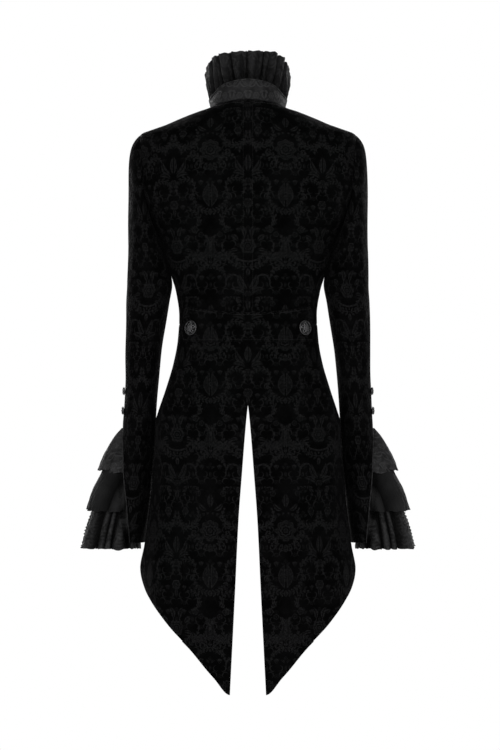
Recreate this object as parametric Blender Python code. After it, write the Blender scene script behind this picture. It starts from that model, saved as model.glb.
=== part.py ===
# A fitted velvet tailcoat in the shape that it has when worn, with no wearer in it.
# Metres, +Z up. The wearer faces -Y, so the tails hang on the +Y side and +X is the wearer's left.
# The origin lies between the shoulders, level with the foot of the neck band at its sides.
# Angles run round the body in degrees: 0 at the centre back, 90 at the wearer's left, 180 in front.

import math

import bmesh
import bpy
import numpy as np
from mathutils import Vector

# Cloth
VELVET = 0.0020
TAFFETA = 0.0011
BAND_CLOTH = 0.0016
SEAM_GAP = 0.0003
LIFT = 0.0007

# Heights of the cut, at the wearer's side
SHOULDER_TIP = -0.046
ARMPIT = -0.210
WAIST = -0.385
VENT_TOP = -0.529
TAIL_TIP = -1.041

# The neckline, against its height at the sides
NECK_BACK_RISE = 0.016
NECK_FRONT_DROP = 0.062
NECK_BACK_CURVE = 1.5
NECK_FRONT_CURVE = 1.3

# Cross-sections of the body, by their height at the wearer's side: half the width, the depth
# behind and in front, and how square the section is
BODY_COLUMNS = ("level", "half_width", "back", "front", "squareness")
BODY = (
    (0.016, 0.0590, 0.062, 0.050, 2.0),
    (0.000, 0.0658, 0.067, 0.056, 2.0),
    (-0.007, 0.0920, 0.073, 0.061, 2.0),
    (-0.018, 0.1210, 0.079, 0.066, 2.05),
    (-0.030, 0.1490, 0.084, 0.071, 2.15),
    (-0.046, 0.1870, 0.090, 0.077, 2.3),
    (-0.062, 0.1965, 0.095, 0.083, 2.45),
    (-0.100, 0.2015, 0.102, 0.097, 2.6),
    (-0.150, 0.1970, 0.106, 0.112, 2.6),
    (-0.180, 0.1840, 0.105, 0.119, 2.5),
    (-0.210, 0.1685, 0.102, 0.121, 2.35),
    (-0.238, 0.1566, 0.098, 0.120, 2.3),
    (-0.262, 0.1483, 0.094, 0.116, 2.3),
    (-0.288, 0.1406, 0.089, 0.109, 2.3),
    (-0.328, 0.1285, 0.082, 0.098, 2.3),
    (-0.370, 0.1228, 0.078, 0.092, 2.3),
    (-0.413, 0.1258, 0.083, 0.094, 2.3),
    (-0.456, 0.1335, 0.093, 0.099, 2.3),
    (-0.498, 0.1460, 0.106, 0.104, 2.3),
    (-0.541, 0.1595, 0.117, 0.108, 2.3),
    (-0.609, 0.1665, 0.126, 0.112, 2.3),
    (-0.698, 0.1720, 0.132, 0.115, 2.3),
    (-0.778, 0.1810, 0.136, 0.118, 2.3),
    (-0.819, 0.1878, 0.138, 0.119, 2.3),
    (-0.900, 0.1900, 0.142, 0.120, 2.3),
    (-1.060, 0.1930, 0.148, 0.120, 2.3),
)

# Rows of the bodice, by their height at the side
BODICE_ROWS = (
    0.0, -0.007, -0.018, -0.030, SHOULDER_TIP, -0.051, -0.064, -0.086, -0.112, -0.138, -0.160,
    -0.182, -0.197, -0.206, ARMPIT, -0.240, -0.270, -0.300, -0.325, -0.345, -0.365, WAIST,
)
ARMHOLE_HALF_DEPTH = 0.053
SIDE_SEAM = 90.0
BACK_STRIPS = 7
SIDE_BACK_STRIPS = 3
FRONT_STRIPS = 8
TAIL_STRIPS = 7
SIDE_SKIRT_STRIPS = 11

# The seam between the back and the side back: how far it lies from the centre at each height
BACK_SEAM_COLUMNS = ("height", "across")
BACK_SEAM = (
    (-0.160, 0.1790),
    (-0.208, 0.1480),
    (-0.260, 0.1190),
    (-0.311, 0.0960),
    (-0.349, 0.0885),
    (WAIST, 0.0880),
)

# The tails: the vent's edge, the pleat beside the hip buttons and the hem, all round
VENT_COLUMNS = ("height", "across")
VENT = (
    (WAIST, SEAM_GAP / 2),
    (VENT_TOP, SEAM_GAP / 2),
    (-0.562, 0.0036),
    (-0.648, 0.0105),
    (-0.733, 0.0168),
    (-0.862, 0.0230),
    (TAIL_TIP, 0.0320),
)
PLEAT_COLUMNS = ("height", "across")
PLEAT = (
    (WAIST, 0.1130),
    (-0.420, 0.1110),
    (-0.500, 0.1080),
    (-0.620, 0.1090),
    (-0.760, 0.1130),
    (-0.960, 0.1170),
)
HEM_COLUMNS = ("angle", "height")
HEM = (
    (0.0, -1.045),
    (13.0, TAIL_TIP),
    (22.8, -1.011),
    (36.5, -0.968),
    (51.5, -0.926),
    (63.5, -0.883),
    (74.5, -0.862),
    (82.0, -0.840),
    (88.5, -0.813),
    (93.0, -0.787),
    (99.0, -0.740),
    (107.0, -0.648),
    (114.0, -0.530),
    (120.0, -0.412),
)
SKIRT_FRONT = 119.0
PLEAT_LAP = 5.0
PLEAT_DEPTH = 0.0034
PLEAT_FADE = 16.0
PLEAT_FOLD = 1.0
EDGE_PASSES = 20
SKIRT_SHARES = (0.0, 0.025, 0.055, 0.095, 0.145, 0.205, 0.275, 0.35, 0.44, 0.54, 0.65, 0.77, 0.89, 1.0)

# Soft folds in the skirt: where each runs, how wide it is and how far it stands out at the hem
FOLD_START = 0.06
FOLD_GROWTH = 0.45
FOLD_COLUMNS = ("angle", "width", "rise")
FOLDS = (
    (27.0, 9.0, 0.0045),
    (62.0, 7.0, 0.0060),
    (88.0, 8.0, 0.0050),
    (108.0, 7.0, 0.0060),
)

# The front, which the wearer's right side closes over the left
FRONT_LAP = 0.012
LAP_RISE_START = 148.0
LAP_RISE = 14.0
FRONT_POINT_DROP = 0.062
POINT_START = 126.0
FRONT_BUTTONS = (-0.130, -0.185, -0.240, -0.295, -0.350)

# Sleeves below the sleeve head
SLEEVE_COLUMNS = ("height", "inner", "half_width", "middle_depth", "half_depth")
SLEEVE = (
    (-0.245, 0.1560, 0.0290, -0.002, 0.0680),
    (-0.280, 0.1450, 0.0350, -0.004, 0.0655),
    (-0.313, 0.1350, 0.0404, -0.006, 0.0630),
    (-0.345, 0.1405, 0.0385, -0.008, 0.0605),
    (-0.385, 0.1467, 0.0358, -0.010, 0.0580),
    (-0.435, 0.1545, 0.0323, -0.016, 0.0540),
    (-0.490, 0.1600, 0.0298, -0.022, 0.0490),
    (-0.541, 0.1640, 0.0292, -0.028, 0.0465),
    (-0.590, 0.1667, 0.0298, -0.032, 0.0470),
    (-0.640, 0.1695, 0.0308, -0.036, 0.0495),
    (-0.700, 0.1755, 0.0325, -0.038, 0.0535),
    (-0.775, 0.1835, 0.0335, -0.040, 0.0585),
)
SLEEVE_HEAD_ROWS = 5
SLEEVE_SEAM = 0.45

# How each lengthwise line leaves the armhole: its way and reach at the armpit, and what the
# shoulder's tip adds to them
LEAVING_SPREAD = 0.30
LEAVING_COLUMNS = ("part", "at_armpit", "added_at_tip")
LEAVING = (
    ("sideways", 0.12, 0.88),
    ("down", 1.0, -0.86),
    ("first_handle", 0.006, 0.026),
    ("last_handle", 0.012, 0.155),
)

# The slit at the wrist and the sleeve's two seams, as angles round the sleeve: 0 faces outwards
SLIT_COLUMNS = ("height", "opening")
SLIT = (
    (-0.560, 0.5),
    (-0.575, 13.0),
    (-0.600, 26.0),
    (-0.650, 47.0),
    (-0.700, 72.0),
    (-0.740, 87.0),
    (-0.775, 100.0),
)
HIND_SEAM_TOP = 100.0
FORE_SEAM_TOP = -130.0
FORE_SEAM_WRIST = -172.0

# Wrist frills: how far their cloth reaches out at each height, and a row for each tier
REACH_COLUMNS = ("height", "reach")
REACH = (
    (-0.570, 0.2260),
    (-0.584, 0.2370),
    (-0.600, 0.2455),
    (-0.634, 0.2590),
    (-0.650, 0.2630),
    (-0.682, 0.2750),
    (-0.714, 0.2815),
    (-0.749, 0.2885),
    (-0.784, 0.2925),
)
FRILL_ROWS = (-0.570, -0.584, -0.600, -0.617, -0.634, -0.650, -0.682, -0.714, -0.749, -0.784)
FRILL_COLUMNS = ("tier", "top", "hem", "inset", "half_turn")
FRILLS = (
    ("upper", -0.570, -0.650, 0.0000, 64.0),
    ("middle", -0.617, -0.714, 0.0017, 91.0),
    ("lower", -0.682, -0.784, 0.0034, 180.0),
)
FRILL_WAVES = 10
FRILL_WAVE = 0.0085
FRILL_DIP = 0.003
FRILL_BULGE = 0.75
WAVE_FADE = 0.5
WAVE_GROWTH = 1.5
DIP_GROWTH = 8
POINTS_PER_WAVE = 4
FRILL_CLEARANCE = 0.0025
SLIT_MARGIN = 6.0

# Neck band and neck frill
BAND_COLUMNS = ("angle", "height", "lean")
BAND = (
    (0.0, 0.0350, 0.0030),
    (45.0, 0.0310, 0.0038),
    (90.0, 0.0235, 0.0035),
    (180.0, 0.0200, 0.0020),
)
RUFF_COLUMNS = ("angle", "height", "flare")
RUFF = (
    (0.0, 0.0505, 0.0060),
    (25.0, 0.0520, 0.0060),
    (48.0, 0.0552, 0.0055),
    (68.0, 0.0560, 0.0050),
    (82.0, 0.0480, 0.0080),
    (95.0, 0.0420, 0.0110),
    (115.0, 0.0410, 0.0180),
    (180.0, 0.0400, 0.0170),
)
BAND_GAP = 0.0006
BAND_STRIPS = 38
RUFF_WAVES = 27
RUFF_WAVE = 0.0048
RUFF_STEP = 0.0016
RUFF_FLARE_GROWTH = 1.4
RUFF_WAVE_GROWTH = 0.8
RUFF_SHARES = (0.0, 0.10, 0.50, 1.0)
COLLAR_END = 177.0

# The half belt and the buttons
BELT_CLOTH = 0.0024
BELT_ANGLES = (0.0, 6.0, 12.0, 18.0, 24.0, 30.0, 36.0, 42.0, 48.0, 54.0, 60.0, 65.0, 69.0, 72.0, 74.0, 75.0)
BELT_ROWS = 4
BELT_BOTTOM = -0.4165
BELT_TOP_MIDDLE = -0.3640
BELT_TOP_END = -0.3500
BELT_END = BELT_ANGLES[-1]
BELT_CORNER = 0.016
BELT_BUTTON_HEIGHT = -0.392
BELT_BUTTON_ACROSS = 0.1015
BELT_BUTTON_RADIUS = 0.0132
BELT_BUTTON_SIDES = 16
SMALL_BUTTON_SIDES = 10
BUTTON_GAP = 0.0004
BUTTON_THICKNESS = 0.42
BUTTON_COLUMNS = ("across", "height")
BUTTON_PROFILE = (
    (0.00, 0.00),
    (0.30, 0.00),
    (0.30, 0.30),
    (0.90, 0.36),
    (1.00, 0.60),
    (0.80, 0.94),
    (0.40, 1.16),
    (0.00, 1.22),
)
CUFF_BUTTON_HEIGHTS = (-0.504, -0.539)
CUFF_BUTTON_TURN = 14.0
CUFF_BUTTON_RADIUS = 0.0076
FRONT_BUTTON_RADIUS = 0.0076

SIDES = (("left", 1), ("right", -1))
SHARP_EDGE = 40.0
HAIR = 1e-9
WELD = 1e-5
LEVEL_STEP = 0.001
ANGLE_STEP = 0.3

# Colour, roughness and how metallic each finish is
FINISH_COLUMNS = ("finish", "color", "roughness", "metallic")
FINISHES = (
    ("black_velvet", (0.012, 0.012, 0.013), 0.85, 0.0),
    ("black_taffeta", (0.035, 0.035, 0.037), 0.45, 0.0),
    ("dark_metal", (0.12, 0.12, 0.125), 0.35, 1.0),
)


def smooth_line(table, columns, key, value):
    # A function through the table's rows with no overshoot between them.
    at = np.array([row[columns.index(key)] for row in table], float)
    to = np.array([row[columns.index(value)] for row in table], float)
    order = np.argsort(at)
    at, to = at[order], to[order]
    step = np.diff(at)
    slope = np.diff(to) / step
    tangent = np.empty(len(at))
    tangent[0], tangent[-1] = slope[0], slope[-1]
    same_way = slope[:-1] * slope[1:] > 0
    total = np.where(same_way, slope[:-1] + slope[1:], 1.0)
    tangent[1:-1] = np.where(same_way, 2 * slope[:-1] * slope[1:] / total, 0.0)

    def line(x):
        x = np.clip(x, at[0], at[-1])
        i = np.clip(np.searchsorted(at, x) - 1, 0, len(step) - 1)
        t = (x - at[i]) / step[i]
        start = to[i] * (1 + 2 * t) + tangent[i] * step[i] * t
        end = to[i + 1] * (3 - 2 * t) - tangent[i + 1] * step[i] * (1 - t)
        return start * (1 - t) ** 2 + end * t**2

    return line


body = {name: smooth_line(BODY, BODY_COLUMNS, "level", name) for name in BODY_COLUMNS[1:]}
sleeve = {name: smooth_line(SLEEVE, SLEEVE_COLUMNS, "height", name) for name in SLEEVE_COLUMNS[1:]}
back_seam = smooth_line(BACK_SEAM, BACK_SEAM_COLUMNS, "height", "across")
vent = smooth_line(VENT, VENT_COLUMNS, "height", "across")
pleat = smooth_line(PLEAT, PLEAT_COLUMNS, "height", "across")
hem = smooth_line(HEM, HEM_COLUMNS, "angle", "height")
slit = smooth_line(SLIT, SLIT_COLUMNS, "height", "opening")
reach = smooth_line(REACH, REACH_COLUMNS, "height", "reach")
band_height = smooth_line(BAND, BAND_COLUMNS, "angle", "height")
band_lean = smooth_line(BAND, BAND_COLUMNS, "angle", "lean")
ruff_height = smooth_line(RUFF, RUFF_COLUMNS, "angle", "height")
ruff_flare = smooth_line(RUFF, RUFF_COLUMNS, "angle", "flare")


def ease(t):
    t = np.clip(t, 0.0, 1.0)
    return t * t * (3 - 2 * t)


def unit(vectors):
    return vectors / np.linalg.norm(vectors, axis=-1, keepdims=True)


def body_point(angle, level):
    # A point of the coat's outer face, at an angle round the body. level is its height at the side.
    angle, level = np.broadcast_arrays(np.asarray(angle, float), np.asarray(level, float))
    turn = np.radians(angle)
    behind = np.cos(turn)
    aside = np.sin(turn)
    depth = np.where(behind >= 0, body["back"](level), body["front"](level))
    power = body["squareness"](level)
    radius = (np.abs(behind) / depth) ** power + (np.abs(aside) / body["half_width"](level)) ** power
    radius = radius ** (-1 / power) + fold_rise(angle, level)
    return np.stack([radius * aside, radius * behind, height_of(angle, level)], -1)


def fold_rise(angle, level):
    # The soft folds grow from the hip down to the hem.
    growth = ease((WAIST - FOLD_START - level) / FOLD_GROWTH)
    rise = np.zeros(np.shape(angle))
    for fold, width, most in FOLDS:
        rise = rise + most * np.exp(-(((np.abs(angle) - fold) / width) ** 2))
    return rise * growth


def body_normal(angle, level):
    angle, level = np.asarray(angle, float), np.asarray(level, float)
    up = body_point(angle, level + LEVEL_STEP) - body_point(angle, level - LEVEL_STEP)
    around = body_point(angle + ANGLE_STEP, level) - body_point(angle - ANGLE_STEP, level)
    return unit(np.cross(up, around))


def angle_across(across, level):
    # The angle at which the back of the body is that far from the centre line.
    ratio = np.clip(across / body["half_width"](level), 0.0, 1.0)
    power = body["squareness"](level)
    behind = body["back"](level) * (1 - ratio**power) ** (1 / power)
    return np.degrees(np.arctan2(across, behind))


def angle_at_depth(depth, level, in_front):
    # The angle at which the body is that far behind, or in front of, the shoulder line.
    whole = body["front"](level) if in_front else body["back"](level)
    power = body["squareness"](level)
    across = body["half_width"](level) * (1 - (depth / whole) ** power) ** (1 / power)
    angle = np.degrees(np.arctan2(across, depth))
    return 180.0 - angle if in_front else angle


def neck_rise(angle):
    # The neckline stands higher behind and drops in front.
    behind = np.cos(np.radians(angle))
    rise = NECK_BACK_RISE * np.clip(behind, 0, 1) ** NECK_BACK_CURVE
    return rise - NECK_FRONT_DROP * np.clip(-behind, 0, 1) ** NECK_FRONT_CURVE


def front_drop(angle):
    # The bodice ends in a short point at the centre front.
    return FRONT_POINT_DROP * ease((np.abs(angle) - POINT_START) / (180.0 - POINT_START))


def height_of(angle, level):
    # A row follows the neckline at the top of the bodice and the front's point at its foot.
    upper = np.clip(1 - level / ARMPIT, 0, 1)
    lower = np.clip((level - ARMPIT) / (WAIST - ARMPIT), 0, 1)
    return level + neck_rise(angle) * upper - front_drop(angle) * lower**2


def armhole_angle(level, in_front=False):
    # Where a bodice row stops at the armhole's oval.
    middle = (SHOULDER_TIP + ARMPIT) / 2
    half = (SHOULDER_TIP - ARMPIT) / 2
    share = np.clip(1 - ((level - middle) / half) ** 2, 0, 1)
    return float(angle_at_depth(ARMHOLE_HALF_DEPTH * math.sqrt(share), level, in_front))


def seam_step(angle, level):
    # Half a seam's gap, in degrees round the body.
    radius = np.linalg.norm(body_point(angle, level)[..., :2], axis=-1)
    return np.degrees(SEAM_GAP / 2 / radius)


def make_finishes():
    made = {}
    for name, color, roughness, metallic in FINISHES:
        finish = bpy.data.materials.new(name)
        finish.use_nodes = True
        shader = finish.node_tree.nodes["Principled BSDF"]
        shader.inputs["Base Color"].default_value = (*color, 1.0)
        shader.inputs["Roughness"].default_value = roughness
        shader.inputs["Metallic"].default_value = metallic
        made[name] = finish
    return made


def add_object(name, mesh_data, finish):
    obj = bpy.data.objects.new(name, mesh_data)
    bpy.context.scene.collection.objects.link(obj)
    mesh_data.materials.append(finish)
    mesh_data.shade_smooth()
    mesh_data.set_sharp_from_angle(angle=math.radians(SHARP_EDGE))
    return obj


def cloth(name, outer, inner, cloth_material, side=1, around=False):
    # A closed wall between an outer and an inner grid of points, both with rows and columns.
    rows, columns = outer.shape[:2]
    flip = np.array([side, 1, 1])
    shape = bmesh.new()
    grids = []
    for grid in (outer, inner):
        grids.append([[shape.verts.new(Vector(point * flip)) for point in row] for row in grid])
    last = columns if around else columns - 1
    front, back = grids

    def quad(a, b, c, d):
        shape.faces.new((a, b, c))
        shape.faces.new((a, c, d))

    for i in range(rows - 1):
        for j in range(last):
            k = (j + 1) % columns
            quad(front[i][j], front[i][k], front[i + 1][k], front[i + 1][j])
            quad(back[i][j], back[i + 1][j], back[i + 1][k], back[i][k])
    for j in range(last):
        k = (j + 1) % columns
        quad(front[0][k], front[0][j], back[0][j], back[0][k])
        quad(front[-1][j], front[-1][k], back[-1][k], back[-1][j])
    if not around:
        for i in range(rows - 1):
            quad(front[i][0], front[i + 1][0], back[i + 1][0], back[i][0])
            quad(front[i + 1][-1], front[i][-1], back[i][-1], back[i + 1][-1])
    if shape.calc_volume(signed=True) < 0:
        bmesh.ops.reverse_faces(shape, faces=shape.faces)
    mesh_data = bpy.data.meshes.new(name)
    shape.to_mesh(mesh_data)
    shape.free()
    return add_object(name, mesh_data, cloth_material)


def body_piece(name, angles, levels, cloth_material, side=1, thickness=VELVET, raised=0.0):
    # A panel cut from the body's form. raised is how far its outer face stands off that form.
    normals = body_normal(angles, levels)
    outer = body_point(angles, levels) + normals * np.broadcast_to(raised, angles.shape)[..., None]
    return cloth(name, outer, outer - normals * thickness, cloth_material, side)


def spread(starts, ends, columns):
    # Rows of angles, evenly spaced from each row's start to its end.
    shares = np.linspace(0, 1, columns + 1)
    starts, ends = np.asarray(starts, float)[:, None], np.asarray(ends, float)[:, None]
    return starts + (ends - starts) * shares


def back_edge(level):
    # The outer edge of the back: shoulder seam, armhole, then the seam to the side back.
    if level > SHOULDER_TIP:
        return SIDE_SEAM
    if level > BACK_SEAM[0][0]:
        return armhole_angle(level)
    return float(angle_across(back_seam(level), level))


def front_edge(level):
    if ARMPIT < level <= SHOULDER_TIP:
        return armhole_angle(level, in_front=True)
    return SIDE_SEAM


def side_back_edge(level):
    return armhole_angle(level) if level > ARMPIT else SIDE_SEAM


def bodice_panel(rows, starts, ends, columns):
    # The angles and levels of a panel that stops half a seam short of its two edges.
    rows, starts, ends = np.array(rows), np.array(starts, float), np.array(ends, float)
    angles = spread(starts + seam_step(starts, rows), ends - seam_step(ends, rows), columns)
    return angles, np.repeat(rows[:, None], columns + 1, axis=1)


def make_back(velvet):
    ends = [back_edge(row) for row in BODICE_ROWS]
    angles, levels = bodice_panel(BODICE_ROWS, [0.0] * len(ends), ends, BACK_STRIPS)
    for side_name, side in SIDES:
        body_piece(f"back_{side_name}", angles, levels, velvet, side)


def make_side_back(velvet):
    rows = [row for row in BODICE_ROWS if row <= BACK_SEAM[0][0]]
    starts = [back_edge(row - HAIR) for row in rows]
    ends = [side_back_edge(row) for row in rows]
    angles, levels = bodice_panel(rows, starts, ends, SIDE_BACK_STRIPS)
    for side_name, side in SIDES:
        body_piece(f"side_back_{side_name}", angles, levels, velvet, side)


def make_fronts(velvet):
    # The edges lap past the centre line, and the right front lies over the left one.
    starts = [front_edge(row) for row in BODICE_ROWS]
    ends = [180.0 + math.degrees(math.asin(FRONT_LAP / body["front"](row))) for row in BODICE_ROWS]
    angles, levels = bodice_panel(BODICE_ROWS, starts, ends, FRONT_STRIPS)
    for side_name, side in SIDES:
        raised = 0.0
        if side_name == "right":
            raised = (VELVET + LIFT) * ease((angles - LAP_RISE_START) / LAP_RISE)
        body_piece(f"front_{side_name}", angles, levels, velvet, side, raised=raised)


def skirt_levels(angles):
    # Rows from just under the waist seam to the hem, at the same share of the way at each angle.
    shares = np.array(SKIRT_SHARES)[:, None]
    top = WAIST - SEAM_GAP
    return top + (hem(angles) - top) * shares


def upright_edge(across):
    # The angle, row by row, of an edge whose distance from the centre line is given by height.
    shares = np.array(SKIRT_SHARES)
    angles = np.full(len(shares), PLEAT_LAP)
    top = WAIST - SEAM_GAP
    for _ in range(EDGE_PASSES):
        levels = top + (hem(angles) - top) * shares
        angles = angle_across(across(levels), levels)
    return angles


def make_tails(velvet):
    angles = spread(upright_edge(vent), upright_edge(pleat), TAIL_STRIPS)
    for side_name, side in SIDES:
        body_piece(f"tail_{side_name}", angles, skirt_levels(angles), velvet, side)


def make_side_skirts(velvet):
    # The side skirt starts under the tail's edge, a cloth deeper, and comes out flush beyond it.
    seams = upright_edge(pleat)
    angles = spread(seams - PLEAT_LAP, np.full(len(seams), SKIRT_FRONT), SIDE_SKIRT_STRIPS)
    raised = -PLEAT_DEPTH * (1 - ease((angles - seams[:, None] - PLEAT_FOLD) / PLEAT_FADE))
    for side_name, side in SIDES:
        body_piece(f"side_skirt_{side_name}", angles, skirt_levels(angles), velvet, side, raised=raised)


def sleeve_section(turn, height):
    # A point of the sleeve's outer face. turn is in degrees: 0 faces outwards, 90 backwards.
    turn = np.radians(turn)
    half = sleeve["half_width"](height)
    across = sleeve["inner"](height) + half + half * np.cos(turn)
    depth = sleeve["middle_depth"](height) + sleeve["half_depth"](height) * np.sin(turn)
    return np.stack([across, depth, np.broadcast_to(height, across.shape)], -1)


def armhole_ring():
    # The armhole's points and the turn of each: 0 at the shoulder's tip, 180 at the armpit.
    rows = [row for row in BODICE_ROWS if ARMPIT <= row <= SHOULDER_TIP]
    middle = (SHOULDER_TIP + ARMPIT) / 2
    half = (SHOULDER_TIP - ARMPIT) / 2
    ring = []
    for in_front in (False, True):
        for row in rows:
            if in_front and row in (SHOULDER_TIP, ARMPIT):
                continue
            point = body_point(armhole_angle(row, in_front), row)
            turn = math.degrees(math.acos(np.clip((row - middle) / half, -1, 1)))
            ring.append((-turn if in_front else turn, point))
    ring.sort(key=lambda item: item[0])
    return np.array([turn for turn, _ in ring]), np.array([point for _, point in ring])


def sleeve_grid(turns_at_top, points, starts, ends):
    # The outer face of a sleeve piece. Each column runs from an armhole point to the wrist.
    shares = (turns_at_top - turns_at_top[0]) / (turns_at_top[-1] - turns_at_top[0])

    def section(seam_height, height):
        turns = starts(seam_height) + shares * (ends(seam_height) - starts(seam_height))
        return sleeve_section(turns, height)

    near_tip = (1 + np.cos(np.radians(turns_at_top))) / 2
    leaving = {name: at_armpit + added * near_tip for name, at_armpit, added in LEAVING}
    way_out = unit(
        np.stack(
            [leaving["sideways"], LEAVING_SPREAD * np.sin(np.radians(turns_at_top)), -leaving["down"]], -1
        )
    )
    heights = [row[0] for row in SLEEVE]
    grid = []
    for t in np.arange(SLEEVE_HEAD_ROWS) / SLEEVE_HEAD_ROWS:
        end = section(heights[0] * t, heights[0])
        seat = points + way_out * SEAM_GAP
        first = points + way_out * leaving["first_handle"][:, None]
        last = end + np.array([0, 0, 1.0]) * leaving["last_handle"][:, None]
        near, far = seat * (1 - t) + 3 * first * t, 3 * last * (1 - t) + end * t
        grid.append(near * (1 - t) ** 2 + far * t**2)
    return np.array(grid + [section(height, height) for height in heights])


def pulled_in(points):
    # Draws a line's two ends in by a seam's gap.
    drawn = points.copy()
    drawn[0] += unit(points[1] - points[0]) * SEAM_GAP
    drawn[-1] += unit(points[-2] - points[-1]) * SEAM_GAP
    return drawn


def hind_seam(top, height, edge):
    # The hind seam runs from the back of the armhole to the slit, whose two edges are -1 and 1.
    return top * (1 - ease(height / SLIT[0][0])) + edge * (slit(height) + SLEEVE_SEAM)


def fore_seam(top, height, edge):
    return top + (FORE_SEAM_WRIST - top) * ease(height / SLIT[0][0]) + edge * SLEEVE_SEAM


def wall_normals(outer, inside, around=False):
    # Normals of a grid, all pointing away from its inside points.
    down = np.gradient(outer, axis=0)
    across = np.gradient(outer, axis=1)
    if around:
        across = np.roll(outer, -1, axis=1) - np.roll(outer, 1, axis=1)
    normals = unit(np.cross(down, across))
    outwards = np.sum(normals * (outer - inside), axis=-1, keepdims=True)
    return np.where(outwards > 0, normals, -normals)


def share_seam_normals(upper, under, upper_normals, under_normals):
    # At a closed seam both pieces take the same normal, so that their edges stay side by side.
    for mine, other in ((0, -1), (-1, 0)):
        apart = np.linalg.norm(upper[:, mine] - under[:, other], axis=-1, keepdims=True)
        shared = unit(upper_normals[:, mine] + under_normals[:, other])
        upper_normals[:, mine] = np.where(apart < VELVET, shared, upper_normals[:, mine])
        under_normals[:, other] = np.where(apart < VELVET, shared, under_normals[:, other])


def make_sleeves(velvet):
    # The upper piece runs from the fore seam over the outside to the hind seam.
    turns, points = armhole_ring()
    hind = int(np.argmin(np.abs(turns - HIND_SEAM_TOP)))
    fore = int(np.argmin(np.abs(turns - FORE_SEAM_TOP)))
    hind_top, fore_top = turns[hind], turns[fore]
    upper = sleeve_grid(
        turns[fore : hind + 1],
        pulled_in(points[fore : hind + 1]),
        lambda height: fore_seam(fore_top, height, 1),
        lambda height: hind_seam(hind_top, height, -1),
    )
    under = sleeve_grid(
        np.concatenate([turns[hind:], turns[: fore + 1] + 360.0]),
        pulled_in(np.concatenate([points[hind:], points[: fore + 1]])),
        lambda height: hind_seam(hind_top, height, 1),
        lambda height: fore_seam(fore_top, height, -1) + 360.0,
    )
    middles = np.concatenate([upper, under], axis=1).mean(axis=1, keepdims=True)
    upper_normals, under_normals = wall_normals(upper, middles), wall_normals(under, middles)
    share_seam_normals(upper, under, upper_normals, under_normals)
    for name, grid, normals in (("upper", upper, upper_normals), ("under", under, under_normals)):
        for side_name, side in SIDES:
            cloth(f"sleeve_{name}_{side_name}", grid, grid - normals * VELVET, velvet, side)


def frill_base(turns):
    # The frills' common form: within the sleeve round its inside, and bulging out of the slit.
    turn = np.radians(turns)
    grid = []
    for height in FRILL_ROWS:
        opening = max(float(slit(height)) - SLIT_MARGIN, 1.0)
        half, depth = sleeve["half_width"](height), sleeve["half_depth"](height)
        middle = sleeve["inner"](height) + half
        off = VELVET + FRILL_CLEARANCE
        inside = ((np.cos(turn) / (half - off)) ** 2 + (np.sin(turn) / (depth - off)) ** 2) ** -0.5
        out = np.clip(1 - (turns / opening) ** 2, 0, 1) ** FRILL_BULGE
        radius = inside + max(float(reach(height)) - middle - (half - off), 0.0) * out
        points = [middle + radius * np.cos(turn), sleeve["middle_depth"](height) + radius * np.sin(turn)]
        grid.append(np.stack([*points, np.full(len(turn), height)], -1))
    return np.array(grid)


def frill_walls(tier):
    # A tier's outer and inner grids: the common form, set in under the tier above, with its waves.
    columns = FRILL_WAVES * POINTS_PER_WAVE
    turns = np.linspace(-180.0, 180.0, columns + 1)[:-1]
    base = frill_base(turns)
    middles = np.broadcast_to(base.mean(axis=1, keepdims=True), base.shape)
    outer = base - wall_normals(base, middles, around=True) * tier["inset"]
    rows = np.array(FRILL_ROWS)
    share = np.clip((rows - tier["top"]) / (tier["hem"] - tier["top"]), 0, 1)[:, None]
    crest = (1 + np.cos(np.radians(turns) * FRILL_WAVES)) / 2
    opening = np.array([max(float(slit(height)) - SLIT_MARGIN, 1.0) for height in rows])[:, None]
    wave = crest * np.clip(1 - (turns / opening) ** 2, 0, 1) ** WAVE_FADE
    facing = np.radians(turns)
    away = np.stack([np.cos(facing), np.sin(facing), np.zeros(len(turns))], -1)
    outer = outer + away * (FRILL_WAVE * share**WAVE_GROWTH * wave)[..., None]
    outer[..., 2] -= FRILL_DIP * share**DIP_GROWTH * wave
    inner = outer - wall_normals(outer, middles, around=True) * TAFFETA
    kept_rows = (rows <= tier["top"]) & (rows >= tier["hem"])
    kept_turns = np.abs(turns) <= tier["half_turn"]
    return [grid[kept_rows][:, kept_turns] for grid in (outer, inner)]


def make_wrist_frills(taffeta):
    for row in FRILLS:
        tier = dict(zip(FRILL_COLUMNS, row))
        outer, inner = frill_walls(tier)
        for side_name, side in SIDES:
            name = f"frill_{tier['tier']}_{side_name}"
            cloth(name, outer, inner, taffeta, side, around=tier["half_turn"] == 180.0)


def collar_foot(angle):
    # The neckline that the band stands on.
    return body_point(angle, 0.0) + np.array([0, 0, BAND_GAP])


def outwards(angle):
    turn = np.radians(angle)
    return np.stack([np.sin(turn), np.cos(turn), np.zeros_like(turn)], -1)


def band_top(angle):
    up = np.array([0, 0, 1.0])
    height = band_height(np.abs(angle))[..., None]
    return collar_foot(angle) + up * height - outwards(angle) * band_lean(np.abs(angle))[..., None]


def make_band(taffeta):
    angles = np.linspace(-COLLAR_END, COLLAR_END, BAND_STRIPS + 1)
    outer = np.array([collar_foot(angles), band_top(angles)])
    inner = outer - outwards(angles) * BAND_CLOTH
    cloth("neck_band", outer, inner, taffeta)


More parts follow.
